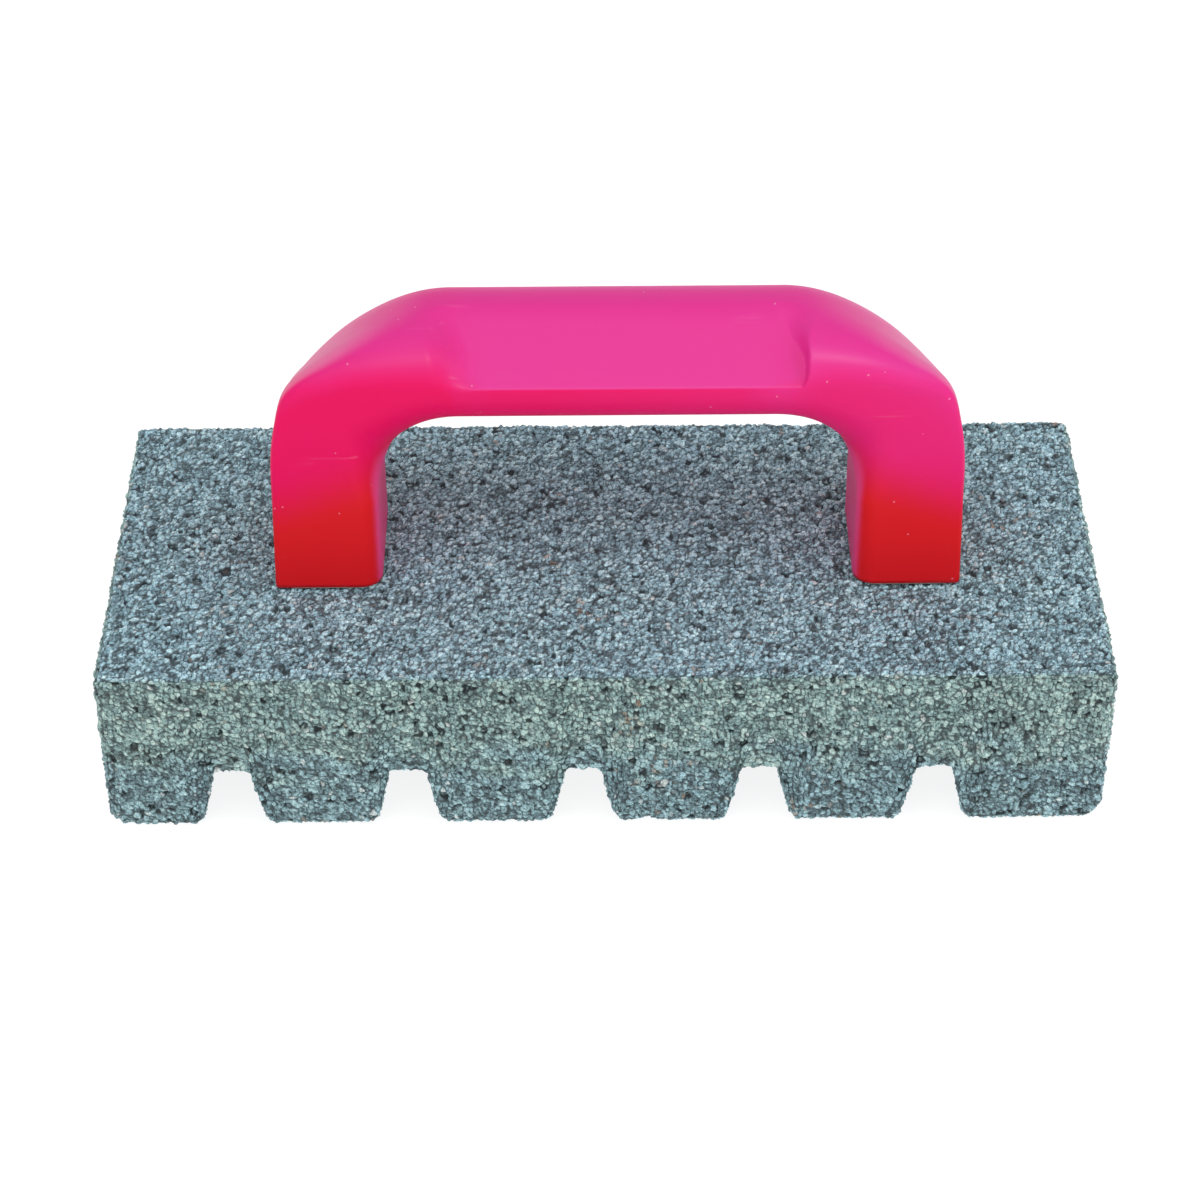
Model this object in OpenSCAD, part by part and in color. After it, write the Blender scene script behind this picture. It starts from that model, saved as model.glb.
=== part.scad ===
// Fluted rub brick: a coarse abrasive block with a moulded grip handle, for dressing concrete.
// X runs along the block, Y from its front to its back, Z up. The origin is the middle of the
// plane that the working face rests on.

/* [Block] */
// Length of the block
block_length = 203.2; // [170:0.1:260]
// Width of the block, front to back
block_width = 88.9; // [60:0.1:120]
// Height of the block, working face to top face
block_height = 38.1; // [34:0.1:60]
// Radius of the block's four upright corners
upright_radius = 3; // [1:0.1:6]
// Radius of the edges around the top face
top_edge_radius = 1.6; // [0.5:0.1:3]
// Radius of the worn edges around the working face
worn_edge_radius = 3; // [1:0.1:4]

/* [Flutes] */
// Number of flutes across the working face
flute_count = 5; // [2:1:5]
// Distance between neighbouring flutes, centre to centre
flute_pitch = 35.5; // [22:0.1:36]
// Distance from the block's left end to the first flute's centre
first_flute = 26; // [18:0.1:40]
// Width of a flute at its roof
flute_roof_width = 6.8; // [5:0.1:9]
// Width of a flute at the working face
flute_mouth_width = 13; // [11:0.1:16]
// Depth of a flute
flute_depth = 14.3; // [8:0.1:16]
// Radius of a flute's two roof corners
roof_radius = 1.5; // [0.5:0.1:2]
// Radius of the land edges along a flute
land_radius = 2.4; // [0.5:0.1:3]

/* [Handle] */
// Length of the handle over its two feet
handle_length = 139.8; // [116:0.1:170]
// Width of the handle, front to back
handle_width = 30; // [24:0.1:36]
// Length of each foot along the block
foot_length = 21.8; // [18:0.1:26]
// Height of the finger gap, foot to underside of the grip
finger_gap = 36.6; // [30:0.1:50]
// Height of the grip's section
grip_height = 21.8; // [18:0.1:28]
// Distance of the handle's middle from the block's middle
handle_offset = 2.7; // [-6:0.1:6]
// Lean of each leg's outer face over the leg's straight stretch
leg_lean = 0.6; // [0:0.1:2]
// Height at which a leg's outer face begins to turn into the shoulder
shoulder_start = 23.6; // [12:0.1:26]
// Distance along the block that the shoulder takes
shoulder_run = 36; // [28:0.1:46]
// Distance that the shoulder's front edge stands out beyond its middle line
shoulder_lead = 3.5; // [0:0.1:5]
// Radius under each shoulder, inside the finger gap
inner_radius = 17; // [8:0.1:19]

/* [Grip flat] */
// Length of the flat on the front of the grip
flat_length = 75; // [50:0.1:90]
// Tilt of the flat from level
flat_tilt = 34; // [25:1:40]
// Width of the flat down its slope
flat_width = 20; // [17:0.1:21]
// Radius of the flat's corners
flat_corner_radius = 5; // [3:0.1:8]
// Lean of the wall around the flat's end, measured from square
flat_wall_lean = 12; // [5:1:45]

/* [Fixings] */
// Diameter of the steel studs
stud_diameter = 6; // [5:0.5:8]
// Length of stud inside each foot
stud_in_handle = 13; // [8:0.5:20]
// Length of stud inside the block
stud_in_block = 14; // [8:0.5:18]
// Chamfer on each end of a stud
stud_chamfer = 0.8; // [0.3:0.1:1.2]
// Wall of the adhesive around and under a stud
adhesive_wall = 1.4; // [0.8:0.1:2]
// Thickness of the adhesive bed between a foot and the block
bed_thickness = 0.6; // [0.3:0.1:1.5]
// Distance that the adhesive bed stays back from the foot's outline
bed_inset = 0.6; // [0.3:0.1:2]
// Wall of the brass insert
insert_wall = 1.8; // [1.4:0.1:2.5]
// Depth and height of the insert's retaining groove
insert_groove = 0.9; // [0.5:0.1:1.2]
// Air left over the stud's end inside the insert
insert_end_air = 1; // [0.5:0.1:3]

/* [Hidden] */
stone_colour = [0.45, 0.53, 0.55];
plastic_colour = [0.86, 0.1, 0.32];
brass_colour = [0.78, 0.62, 0.32];
steel_colour = [0.62, 0.64, 0.66];
adhesive_colour = [0.75, 0.73, 0.66];

round_faces = 48;
arc_steps = 6;
// Extra reach of a cutting shape past the face that it cuts
reach = 1;

foot_z = block_height + bed_thickness;
grip_top = finger_gap + grip_height;
foot_middle = (handle_length - foot_length) / 2;
left_x = handle_offset - foot_middle;
right_x = handle_offset + foot_middle;
insert_radius = stud_diameter / 2 + insert_wall;
insert_depth = stud_in_handle + insert_end_air;
socket_radius = stud_diameter / 2 + adhesive_wall;
socket_depth = stud_in_block + adhesive_wall;

// Sweep of the handle: rings along one half, and points in each quarter of a ring
leg_rings = 3;
shoulder_rings = 22;
grip_rings = 4;
quarter_points = 9;
// Exponents of the shoulder's outer curve and of the grip's oval
shoulder_power = 2.05;
grip_power = 2.3;
// Corner radii of a foot, on its outer and on its inner side
foot_outer_radius = 1;
foot_inner_radius = 4;
// Shares of the shoulder over which the corners at the front, at the back and inside the gap
// open into the oval. The front stays flat the longest, and the back is rounded for the palm.
front_opening = [0.5, 0.95];
back_opening = [-0.12, 0.47];
inner_opening = [-0.06, 0.5];

// Points of an arc around a centre, from one angle to another
function arc(centre, radius, from, to) =
    [for (i = [0 : arc_steps]) let (a = from + (to - from) * i / arc_steps)
        centre + radius * [cos(a), sin(a)]];

// Outline of a rectangle with one radius at its lower and one at its upper corners
function rounded_outline(width, low, high, low_r, high_r) = concat(
    arc([width / 2 - low_r, low + low_r], low_r, -90, 0),
    arc([width / 2 - high_r, high - high_r], high_r, 0, 90),
    arc([-width / 2 + high_r, high - high_r], high_r, 90, 180),
    arc([-width / 2 + low_r, low + low_r], low_r, 180, 270));

// Outline of one flute, from its left land edge over the roof to its right land edge.
// Each arc is tangent to the sloping wall, whose angle from upright is wall_angle.
wall_angle = atan((flute_mouth_width - flute_roof_width) / 2 / flute_depth);
land_back = land_radius * tan((90 - wall_angle) / 2);
roof_back = roof_radius * tan((90 - wall_angle) / 2);
function flute_side(s) = concat(
    [for (p = arc([0, 0], land_radius, -90, -wall_angle))
        [s * (flute_mouth_width / 2 + land_back - p[0]), land_radius + p[1]]],
    [for (p = arc([0, 0], roof_radius, -wall_angle, 90))
        [s * (flute_roof_width / 2 - roof_back + p[0]), flute_depth - roof_radius + p[1]]]);
function reversed(points) = [for (i = [len(points) - 1 : -1 : 0]) points[i]];
function flute_outline(x) =
    [for (p = concat(flute_side(-1), reversed(flute_side(1)))) p + [x, 0]];

// The whole front outline of the block, flutes included
module front_outline() {
    corner = block_length / 2;
    flutes = [for (i = [0 : flute_count - 1])
        each flute_outline(-corner + first_flute + i * flute_pitch)];
    polygon(concat(
        arc([-corner + worn_edge_radius, worn_edge_radius], worn_edge_radius, 180, 270),
        flutes,
        arc([corner - worn_edge_radius, worn_edge_radius], worn_edge_radius, 270, 360),
        arc([corner - top_edge_radius, block_height - top_edge_radius], top_edge_radius, 0, 90),
        arc([-corner + top_edge_radius, block_height - top_edge_radius],
            top_edge_radius, 90, 180)));
}

// The block: its front outline, rounded from the side and in plan, with a socket for each stud
module abrasive_block() {
    color(stone_colour) difference() {
        intersection() {
            rotate([90, 0, 0])
                linear_extrude(block_width, center = true) front_outline();
            rotate([90, 0, 90])
                linear_extrude(block_length + 2 * reach, center = true)
                    polygon(rounded_outline(block_width, 0, block_height,
                        worn_edge_radius, top_edge_radius));
            linear_extrude(block_height)
                polygon(rounded_outline(block_length, -block_width / 2, block_width / 2,
                    upright_radius, upright_radius));
        }
        for (x = [left_x, right_x])
            translate([x, 0, block_height - socket_depth])
                cylinder(h = socket_depth + reach, r = socket_radius, $fn = round_faces);
    }
}

function smooth(t) = let (u = min(max(t, 0), 1)) u * u * (3 - 2 * u);
function opening(share, range) = smooth((share - range[0]) / (range[1] - range[0]));

// Outer and inner line of the handle's half, as [distance from its middle, height], at a share
// of the leg, of the shoulder, or of the grip
shoulder_x = handle_length / 2 - leg_lean;
gap_half = handle_length / 2 - foot_length;
gap_spring = finger_gap - inner_radius;
function leg_outer(t) = [handle_length / 2 - leg_lean * t, shoulder_start * t];
function leg_inner(t) = [gap_half, gap_spring * t];
function shoulder_outer(t) = [
    shoulder_x - shoulder_run * (1 - pow(cos(90 * t), 2 / shoulder_power)),
    shoulder_start + (grip_top - shoulder_start) * pow(sin(90 * t), 2 / shoulder_power)];
function shoulder_inner(t) = [
    gap_half - inner_radius * (1 - cos(90 * t)),
    gap_spring + inner_radius * sin(90 * t)];
function grip_outer(t) = [(shoulder_x - shoulder_run) * (1 - t), grip_top];
function grip_inner(t) = [(gap_half - inner_radius) * (1 - t), finger_gap];

// Each station of the half handle: outer point, inner point, and share of the shoulder passed
stations = concat(
    [for (i = [0 : leg_rings - 1]) let (t = i / leg_rings) [leg_outer(t), leg_inner(t), 0]],
    [for (i = [0 : shoulder_rings - 1]) let (t = i / shoulder_rings)
        [shoulder_outer(t), shoulder_inner(t), t]],
    [for (i = [0 : grip_rings]) let (t = i / grip_rings) [grip_outer(t), grip_inner(t), 1]]);

// One quarter of a section as [across, outwards]: straight sides with a corner whose two radii
// open from the foot's radius to the whole half section, where the corner is a quarter oval
function quarter(half_across, half_out, radius, open) =
    let (across = radius + (half_across - radius) * open,
        out = radius + (half_out - radius) * open,
        power = 2 / (2 + (grip_power - 2) * open))
    [for (i = [0 : quarter_points - 1]) let (a = 90 * (i + 0.5) / quarter_points)
        [half_across - across * (1 - pow(cos(a), power)),
            half_out - out * (1 - pow(sin(a), power))]];

// A whole section, from its back over the crown and the front to the inner side. The lead
// pushes the outer side out at the front and in at the back.
function section(half_across, half_out, share) =
    let (back = quarter(half_across, half_out, foot_outer_radius, opening(share, back_opening)),
        front = quarter(half_across, half_out, foot_outer_radius,
            opening(share, front_opening)),
        inner = quarter(half_across, half_out, foot_inner_radius,
            opening(share, inner_opening)),
        lead = shoulder_lead * pow(sin(180 * share), 2))
    [for (p = concat(back, [for (q = reversed(front)) [-q[0], q[1]]],
            [for (q = inner) [-q[0], -q[1]]], [for (q = reversed(inner)) [q[0], -q[1]]]))
        [p[0], p[1] - lead * p[0] / half_across * (1 + p[1] / half_out) / 2]];

// One ring of the sweep, for the left half with side -1 or the right half with side 1
function ring(station, side) =
    let (middle = (station[0] + station[1]) / 2,
        out = station[0] - station[1],
        unit = out / norm(out))
    [for (p = section(handle_width / 2, norm(out) / 2, station[2]))
        [side * (middle[0] + unit[0] * p[1]), p[0], middle[1] + unit[1] * p[1]]];

rings = concat([for (s = stations) ring(s, -1)],
    [for (i = [len(stations) - 2 : -1 : 0]) ring(stations[i], 1)]);
ring_points = 4 * quarter_points;

// The handle's outer body: two feet, two shoulders and the grip as one swept solid
module handle_body() {
    last = len(rings) - 1;
    walls = [for (r = [0 : last - 1], i = [0 : ring_points - 1])
        let (j = (i + 1) % ring_points, a = r * ring_points, b = a + ring_points)
        each [[a + i, a + j, b + i], [a + j, b + j, b + i]]];
    left_sole = [for (i = [ring_points - 1 : -1 : 0]) i];
    right_sole = [for (i = [0 : ring_points - 1]) last * ring_points + i];
    polyhedron(points = [for (r = rings) each r], faces = concat(walls, [left_sole, right_sole]));
}

// The flat on the front of the grip, as the shape that is cut away. Its floor runs down from
// the grip's crown and out through the front, and the walls at its two ends lean outwards.
module flat_cutter() {
    top_radius = flat_corner_radius + grip_height * tan(flat_wall_lean);
    translate([0, 0, grip_top])
        rotate([flat_tilt, 0, 0])
            hull()
                for (side = [-1, 1], y = [-flat_corner_radius, flat_corner_radius - flat_width])
                    translate([side * (flat_length / 2 - flat_corner_radius), y, 0])
                        cylinder(h = grip_height, r1 = flat_corner_radius, r2 = top_radius,
                            $fn = round_faces);
}

// The outer shape of an insert, from its open end upwards, with a groove that the plastic fills
module insert_outer() {
    middle = insert_depth / 2;
    rotate_extrude($fn = round_faces)
        polygon([[0, 0], [insert_radius, 0], [insert_radius, middle - insert_groove],
            [insert_radius - insert_groove / 2, middle - insert_groove / 2],
            [insert_radius - insert_groove / 2, middle + insert_groove / 2],
            [insert_radius, middle + insert_groove], [insert_radius, insert_depth],
            [0, insert_depth]]);
}

module handle() {
    color(plastic_colour) difference() {
        translate([handle_offset, 0, foot_z]) difference() {
            handle_body();
            flat_cutter();
        }
        for (x = [left_x, right_x])
            translate([x, 0, foot_z]) insert_outer();
    }
}

// A brass insert, open below, with its end closed over the stud
module threaded_insert(x) {
    bore_depth = insert_depth - insert_end_air / 2;
    color(brass_colour) translate([x, 0, foot_z]) difference() {
        insert_outer();
        translate([0, 0, -reach])
            cylinder(h = bore_depth + reach, d = stud_diameter, $fn = round_faces);
    }
}
module threaded_insert_left() {
    threaded_insert(left_x);
}
module threaded_insert_right() {
    threaded_insert(right_x);
}

// A steel stud with chamfered ends, half in the block and half in the handle
module stud(x) {
    radius = stud_diameter / 2;
    low = block_height - stud_in_block;
    high = foot_z + stud_in_handle;
    color(steel_colour) translate([x, 0, 0]) rotate_extrude($fn = round_faces)
        polygon([[0, low], [radius - stud_chamfer, low], [radius, low + stud_chamfer],
            [radius, high - stud_chamfer], [radius - stud_chamfer, high], [0, high]]);
}
module stud_left() {
    stud(left_x);
}
module stud_right() {
    stud(right_x);
}

// The adhesive around a stud, which fills its socket in the block
module stud_adhesive(x) {
    radius = stud_diameter / 2;
    low = block_height - stud_in_block;
    color(adhesive_colour) translate([x, 0, 0]) difference() {
        translate([0, 0, block_height - socket_depth])
            cylinder(h = socket_depth, r = socket_radius, $fn = round_faces);
        rotate_extrude($fn = round_faces)
            polygon([[0, low], [radius - stud_chamfer, low], [radius, low + stud_chamfer],
                [radius, block_height + reach], [0, block_height + reach]]);
    }
}
module stud_adhesive_left() {
    stud_adhesive(left_x);
}
module stud_adhesive_right() {
    stud_adhesive(right_x);
}

// The thin bed of adhesive between a foot and the block, with the stud through it
module bedding_pad(x) {
    length = foot_length - 2 * bed_inset;
    width = handle_width - 2 * bed_inset;
    radius = foot_inner_radius;
    color(adhesive_colour) translate([x, 0, block_height]) difference() {
        linear_extrude(bed_thickness)
            polygon(rounded_outline(length, -width / 2, width / 2, radius, radius));
        translate([0, 0, -reach])
            cylinder(h = bed_thickness + 2 * reach, d = stud_diameter, $fn = round_faces);
    }
}
module bedding_pad_left() {
    bedding_pad(left_x);
}
module bedding_pad_right() {
    bedding_pad(right_x);
}

abrasive_block();
handle();
threaded_insert_left();
threaded_insert_right();
stud_left();
stud_right();
stud_adhesive_left();
stud_adhesive_right();
bedding_pad_left();
bedding_pad_right();
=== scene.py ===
"""Fluted rub brick with a moulded handle: the coarse stone, the handle, its fixings and a studio.

X runs along the block, Y from front to back and Z up. Every length in the code is in metres.
The stone is eight patches of one closed surface: a wrap around the block in six of them, and a
cap at the front and at the back. Grains scattered in space push that surface in and out, so that
neighbouring patches meet without a gap.
"""

import math

import bpy
import numpy as np
from mathutils import Matrix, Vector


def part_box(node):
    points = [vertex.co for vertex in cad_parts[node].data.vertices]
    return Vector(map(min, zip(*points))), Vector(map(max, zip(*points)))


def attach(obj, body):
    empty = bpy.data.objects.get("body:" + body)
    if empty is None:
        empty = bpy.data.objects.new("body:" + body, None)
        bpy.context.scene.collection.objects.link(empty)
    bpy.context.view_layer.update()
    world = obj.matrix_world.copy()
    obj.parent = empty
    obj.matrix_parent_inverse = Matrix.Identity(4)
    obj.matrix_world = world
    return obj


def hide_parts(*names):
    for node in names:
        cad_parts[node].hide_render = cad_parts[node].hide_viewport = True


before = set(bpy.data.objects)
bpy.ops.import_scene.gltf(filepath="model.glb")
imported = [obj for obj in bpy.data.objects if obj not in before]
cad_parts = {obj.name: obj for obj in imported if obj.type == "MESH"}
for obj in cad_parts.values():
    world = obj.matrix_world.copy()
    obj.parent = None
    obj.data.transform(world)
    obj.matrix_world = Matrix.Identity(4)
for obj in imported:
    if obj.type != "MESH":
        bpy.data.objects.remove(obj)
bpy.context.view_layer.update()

bl_info = {
    "name": "Fluted Rub Brick",
    "version": (1, 0, 0),
    "blender": (4, 5, 0),
    "location": "3D View > Sidebar > Rub Brick",
    "description": "Builds a fluted abrasive rub brick with a moulded plastic handle",
    "category": "Object",
}

MM = 0.001
BODY = "root"
BLOCK_LOW, BLOCK_HIGH = (np.array(corner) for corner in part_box("abrasive_block"))
HANDLE_LOW, HANDLE_HIGH = (np.array(corner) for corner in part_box("handle"))
INSERT_LOW, INSERT_HIGH = (np.array(corner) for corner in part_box("threaded_insert_right"))


# ---------------------------------------------------------------------------------------------
# Sizes and colours that a user would change
# ---------------------------------------------------------------------------------------------


def length(name, text, default):
    """A length in metres, shown in the scene's unit."""
    return bpy.props.FloatProperty(
        name=name, description=text, default=default, min=0.0, precision=5,
        subtype="DISTANCE", unit="LENGTH")


def share(name, text, default):
    """A plain number from 0 to 1."""
    return bpy.props.FloatProperty(
        name=name, description=text, default=default, min=0.0, max=1.0)


def amount(name, text, default):
    """A plain number."""
    return bpy.props.FloatProperty(name=name, description=text, default=default)


def turn(name, text, default):
    """An angle, given in degrees and kept in radians."""
    return bpy.props.FloatProperty(
        name=name, description=text, default=math.radians(default),
        subtype="ANGLE", unit="ROTATION")


def tint(name, text, default):
    """A colour in linear light."""
    return bpy.props.FloatVectorProperty(
        name=name, description=text, default=default, size=3, min=0.0, max=1.0,
        subtype="COLOR")


class RubBrickStone(bpy.types.PropertyGroup):
    """Shape, grain and colours of the stone."""

    first_flute: length(
        "First Flute", "Distance from the left end to the first flute's middle", 26 * MM)
    flute_pitch: length("Flute Pitch", "Distance between neighbouring flutes", 35.5 * MM)
    flute_count: bpy.props.IntProperty(
        name="Flutes", description="Number of flutes", default=5, min=1, max=5)
    roof_width: length("Roof Width", "Width of a flute at its roof", 6.8 * MM)
    mouth_width: length("Mouth Width", "Width of a flute at the working face", 13 * MM)
    flute_depth: length("Flute Depth", "Depth of a flute", 14.3 * MM)
    roof_radius: length("Roof Radius", "Radius of a flute's roof corners", 1.5 * MM)
    land_radius: length("Land Radius", "Radius of the land edges along a flute", 2.4 * MM)
    top_radius: length("Top Radius", "Radius of the edges around the top", 1.6 * MM)
    worn_radius: length("Worn Radius", "Radius of the edges around the working face", 3 * MM)
    upright_radius: length("Upright Radius", "Radius of the block's upright edges", 2.8 * MM)
    flute_edge_radius: length(
        "Flute Edge", "Radius where a flute runs out at the front and back", 0.5 * MM)
    grain: length("Grain", "Distance between neighbouring grains", 1.12 * MM)
    recess: length("Recess", "How far an average grain lies inside the block's box", 0.04 * MM)
    relief: length("Relief", "Range of heights among the grains", 0.34 * MM)
    gap_depth: length("Gap Depth", "Depth of the gaps between grains", 0.40 * MM)
    gap_width: length("Gap Width", "Width of the gaps between grains", 0.55 * MM)
    pit_share: share("Pits", "Share of grains that have broken out", 0.035)
    pit_depth: length("Pit Depth", "Extra depth where a grain has broken out", 0.4 * MM)
    edge_wear: length("Edge Wear", "Most that the edges have crumbled", 0.35 * MM)
    seed: bpy.props.IntProperty(
        name="Seed", description="Seed of the scattered grains", default=7, min=0)
    dark: tint("Dark Grain", "Colour of the darkest grains", (0.100, 0.170, 0.196))
    middle: tint("Middle Grain", "Colour of the usual grains", (0.370, 0.610, 0.700))
    light: tint("Light Grain", "Colour of the palest grains", (0.680, 0.950, 1.000))
    rust: tint("Rust", "Colour of the few rusty grains", (0.34, 0.17, 0.075))
    # Painted shade: this colour darkens the gaps between the grains, the broken grains and thin
    # lines between grains
    gap_shade: tint("Gap Shade", "Colour deep between the grains", (0.012, 0.018, 0.022))


class RubBrickHandle(bpy.types.PropertyGroup):
    """Shape and colours of the handle."""

    foot_length: length("Foot Length", "Length of each foot along the block", 21.8 * MM)
    finger_gap: length("Finger Gap", "Height from the feet to the grip's underside", 36.6 * MM)
    leg_lean: length("Leg Lean", "Lean of each leg's outer face", 0.6 * MM)
    shoulder_start: length("Shoulder Start", "Height where the shoulder begins", 23.6 * MM)
    shoulder_run: length("Shoulder Run", "Distance that the shoulder takes", 36 * MM)
    shoulder_lead: length("Shoulder Lead", "Reach of the shoulder's front edge", 3.5 * MM)
    inner_radius: length("Inner Radius", "Radius under each shoulder", 17 * MM)
    flat_length: length("Flat Length", "Length of the flat on the grip", 75 * MM)
    flat_width: length("Flat Width", "Width of the flat down its slope", 20 * MM)
    shoulder_kink: length("Shoulder Kink", "Push of the outer edge at the kink", 1.7 * MM)
    flat_corner: length("Flat Corner", "Radius of the flat's corners", 5 * MM)
    flat_tilt: turn("Flat Tilt", "Tilt of the flat from level", 34)
    crisp_wall: length("Crisp Wall", "Width of the wall at the flat's right end", 0.6 * MM)
    soft_wall: length("Soft Wall", "Width of the wall at the flat's left end", 9 * MM)
    # The upper colour is a painted sheen, a painted reflection of the bright sky on faces that
    # look up
    upper: tint("Upper Colour", "Colour of the faces that look upwards", (0.75, 0.035, 0.285))
    front: tint("Front Colour", "Colour of the upright faces", (0.78, 0.001, 0.100))
    # The lower colour is a painted reflection of the dark stone near the feet
    lower: tint("Lower Colour", "Colour near the feet", (0.72, 0.010, 0.016))
    # The inner colour is a painted reflection of the stone and painted shade on the legs' inner
    # faces
    inner: tint("Inner Colour", "Colour of the legs' inner faces", (0.80, 0.068, 0.262))
    roughness: share("Roughness", "Roughness of the moulded plastic", 0.36)


class RubBrickStudio(bpy.types.PropertyGroup):
    """Floor, light and camera."""

    floor_size: length("Floor Size", "Side of the floor", 6.0)
    floor_colour: tint("Floor Colour", "Colour of the floor", (0.28, 0.28, 0.28))
    floor_glow: amount("Floor Glow", "Light that the floor gives of its own", 0.84)
    sky: amount("Sky", "Strength of the even white light all around", 0.66)
    key: amount("Key Light", "Power of the large light above the front", 4.2)
    low: amount("Low Light", "Power of the light near the floor", 1.6)
    side: amount("Side Light", "Power of the light at the right", 1.6)
    glint: amount("Glint", "Power of the small light that only shows in gloss", 5.0)
    azimuth: turn("Azimuth", "Camera's angle round the block", -0.23124)
    elevation: turn("Elevation", "Camera's height above the horizon", 37.77186)
    roll: turn("Roll", "Camera's turn about its view", -0.28491)
    distance: length("Distance", "Distance from the camera to what it looks at", 0.69058)
    shift_right: amount("Aim Right", "Aim point's offset along the picture", -0.00084)
    shift_up: amount("Aim Up", "Aim point's offset up the picture", -0.0116951)
    lens: amount("Lens", "Focal length in millimetres", 99.626)


# ---------------------------------------------------------------------------------------------
# Meshes from whole arrays
# ---------------------------------------------------------------------------------------------


def smooth_step(value):
    """Zero below 0, one above 1 and a smooth S between: u * u * (3 - 2u)."""
    u = np.clip(value, 0.0, 1.0)
    return u * u * (3 - 2 * u)


def grid_faces(rows, columns, first=0):
    """The four-sided faces of a grid whose points are stored row after row."""
    corner = first + np.arange(rows - 1)[:, None] * columns + np.arange(columns - 1)
    faces = np.stack([corner, corner + 1, corner + columns + 1, corner + columns], -1)
    return faces.reshape(-1, 4)


def new_piece(name, points, faces, material, shaded_smooth, **attributes):
    """Puts points and four-sided faces into a new mesh object, with one colour attribute per
    keyword. The object stays at the origin."""
    mesh = bpy.data.meshes.new(name)
    mesh.vertices.add(len(points))
    mesh.vertices.foreach_set("co", points.astype(np.float32).ravel())
    sides = faces.shape[1]
    mesh.loops.add(faces.size)
    mesh.loops.foreach_set("vertex_index", faces.astype(np.int32).ravel())
    mesh.polygons.add(len(faces))
    mesh.polygons.foreach_set("loop_start", np.arange(0, faces.size, sides, dtype=np.int32))
    mesh.polygons.foreach_set("use_smooth", np.full(len(faces), shaded_smooth))
    mesh.update(calc_edges=True)
    for key, values in attributes.items():
        layer = mesh.color_attributes.new(key, "FLOAT_COLOR", "POINT")
        layer.data.foreach_set("color", values.astype(np.float32).ravel())
    mesh.materials.append(material)
    if mesh.validate():
        raise RuntimeError(f"{name}: the mesh had faults")
    piece = bpy.data.objects.new(name, mesh)
    bpy.context.scene.collection.objects.link(piece)
    return piece


# ---------------------------------------------------------------------------------------------
# Node helpers and shared node groups
# ---------------------------------------------------------------------------------------------


def add_node(tree, kind, place=(0, 0), settings=None, **inputs):
    """Adds a node, sets its settings, and fills its inputs with numbers or links."""
    node = tree.nodes.new(kind)
    node.location = place
    for key, value in (settings or {}).items():
        setattr(node, key, value)
    for key, value in inputs.items():
        socket = node.inputs[int(key[1:]) if key[:1] == "i" and key[1:].isdigit()
                             else key.replace("_", " ")]
        if isinstance(value, bpy.types.NodeSocket):
            tree.links.new(value, socket)
        else:
            socket.default_value = value
    return node


def maths(tree, operation, first, second=0.0, place=(0, 0)):
    """One arithmetic step, kept between 0 and 1 only where the operation says so."""
    return add_node(tree, "ShaderNodeMath", place, {"operation": operation},
                    i0=first, i1=second).outputs[0]


def remap(tree, value, low, high, to_low=0.0, to_high=1.0, place=(0, 0)):
    """Carries a value from one range smoothly to another, held at both ends."""
    return add_node(
        tree, "ShaderNodeMapRange", place, {"interpolation_type": "SMOOTHSTEP"},
        Value=value, From_Min=low, From_Max=high, To_Min=to_low, To_Max=to_high).outputs[0]


def blend_colour(tree, factor, first, second, mode="MIX", place=(0, 0)):
    """Mixes two colours."""
    mix = add_node(tree, "ShaderNodeMix", place, {"data_type": "RGBA", "blend_type": mode},
                   i0=factor, i6=first, i7=second)
    return mix.outputs[2]


def opaque(colour):
    """A three-number colour as red, green, blue and alpha."""
    return (*colour, 1.0)


def new_group(name, inputs, outputs):
    """An empty shader node group with its sockets, and its input and output nodes."""
    group = bpy.data.node_groups.new(name, "ShaderNodeTree")
    for label, default in inputs.items():
        socket = group.interface.new_socket(label, in_out="INPUT", socket_type="NodeSocketFloat")
        socket.default_value = default
    for label in outputs:
        group.interface.new_socket(label, in_out="OUTPUT", socket_type="NodeSocketFloat")
    start = add_node(group, "NodeGroupInput", (-900, 0))
    end = add_node(group, "NodeGroupOutput", (600, 0))
    return group, start.outputs, end.inputs


def make_mottle_group():
    """Cloudy unevenness: layered noise on object coordinates, as a value around one half."""
    group, given, result = new_group(
        "Cloudy Mottle", {"Scale": 60.0, "Low": 0.35, "High": 0.65}, ["Value"])
    place = add_node(group, "ShaderNodeTexCoord", (-900, -200)).outputs["Object"]
    noise = add_node(group, "ShaderNodeTexNoise", (-600, 0), Vector=place,
                     Scale=given["Scale"], Detail=4.0, Roughness=0.6)
    spread = remap(group, noise.outputs[0], given["Low"], given["High"], place=(-300, 0))
    group.links.new(spread, result["Value"])
    return group


# Two sets of scuffs, each by its spin about Z and its stretch, and the slant that both share
SCUFF_SETS = ((0.35, 0.05), (-0.8, 0.08))
SCUFF_SLANT = (0.2, 0.1)
# Noise at which a scuff begins and is full, scale of the clouds that thin them, and their edge
SCUFF_BEGIN, SCUFF_FULL, SCUFF_CLOUDS, SCUFF_EDGE = 0.66, 0.74, 45.0, 0.15


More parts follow.
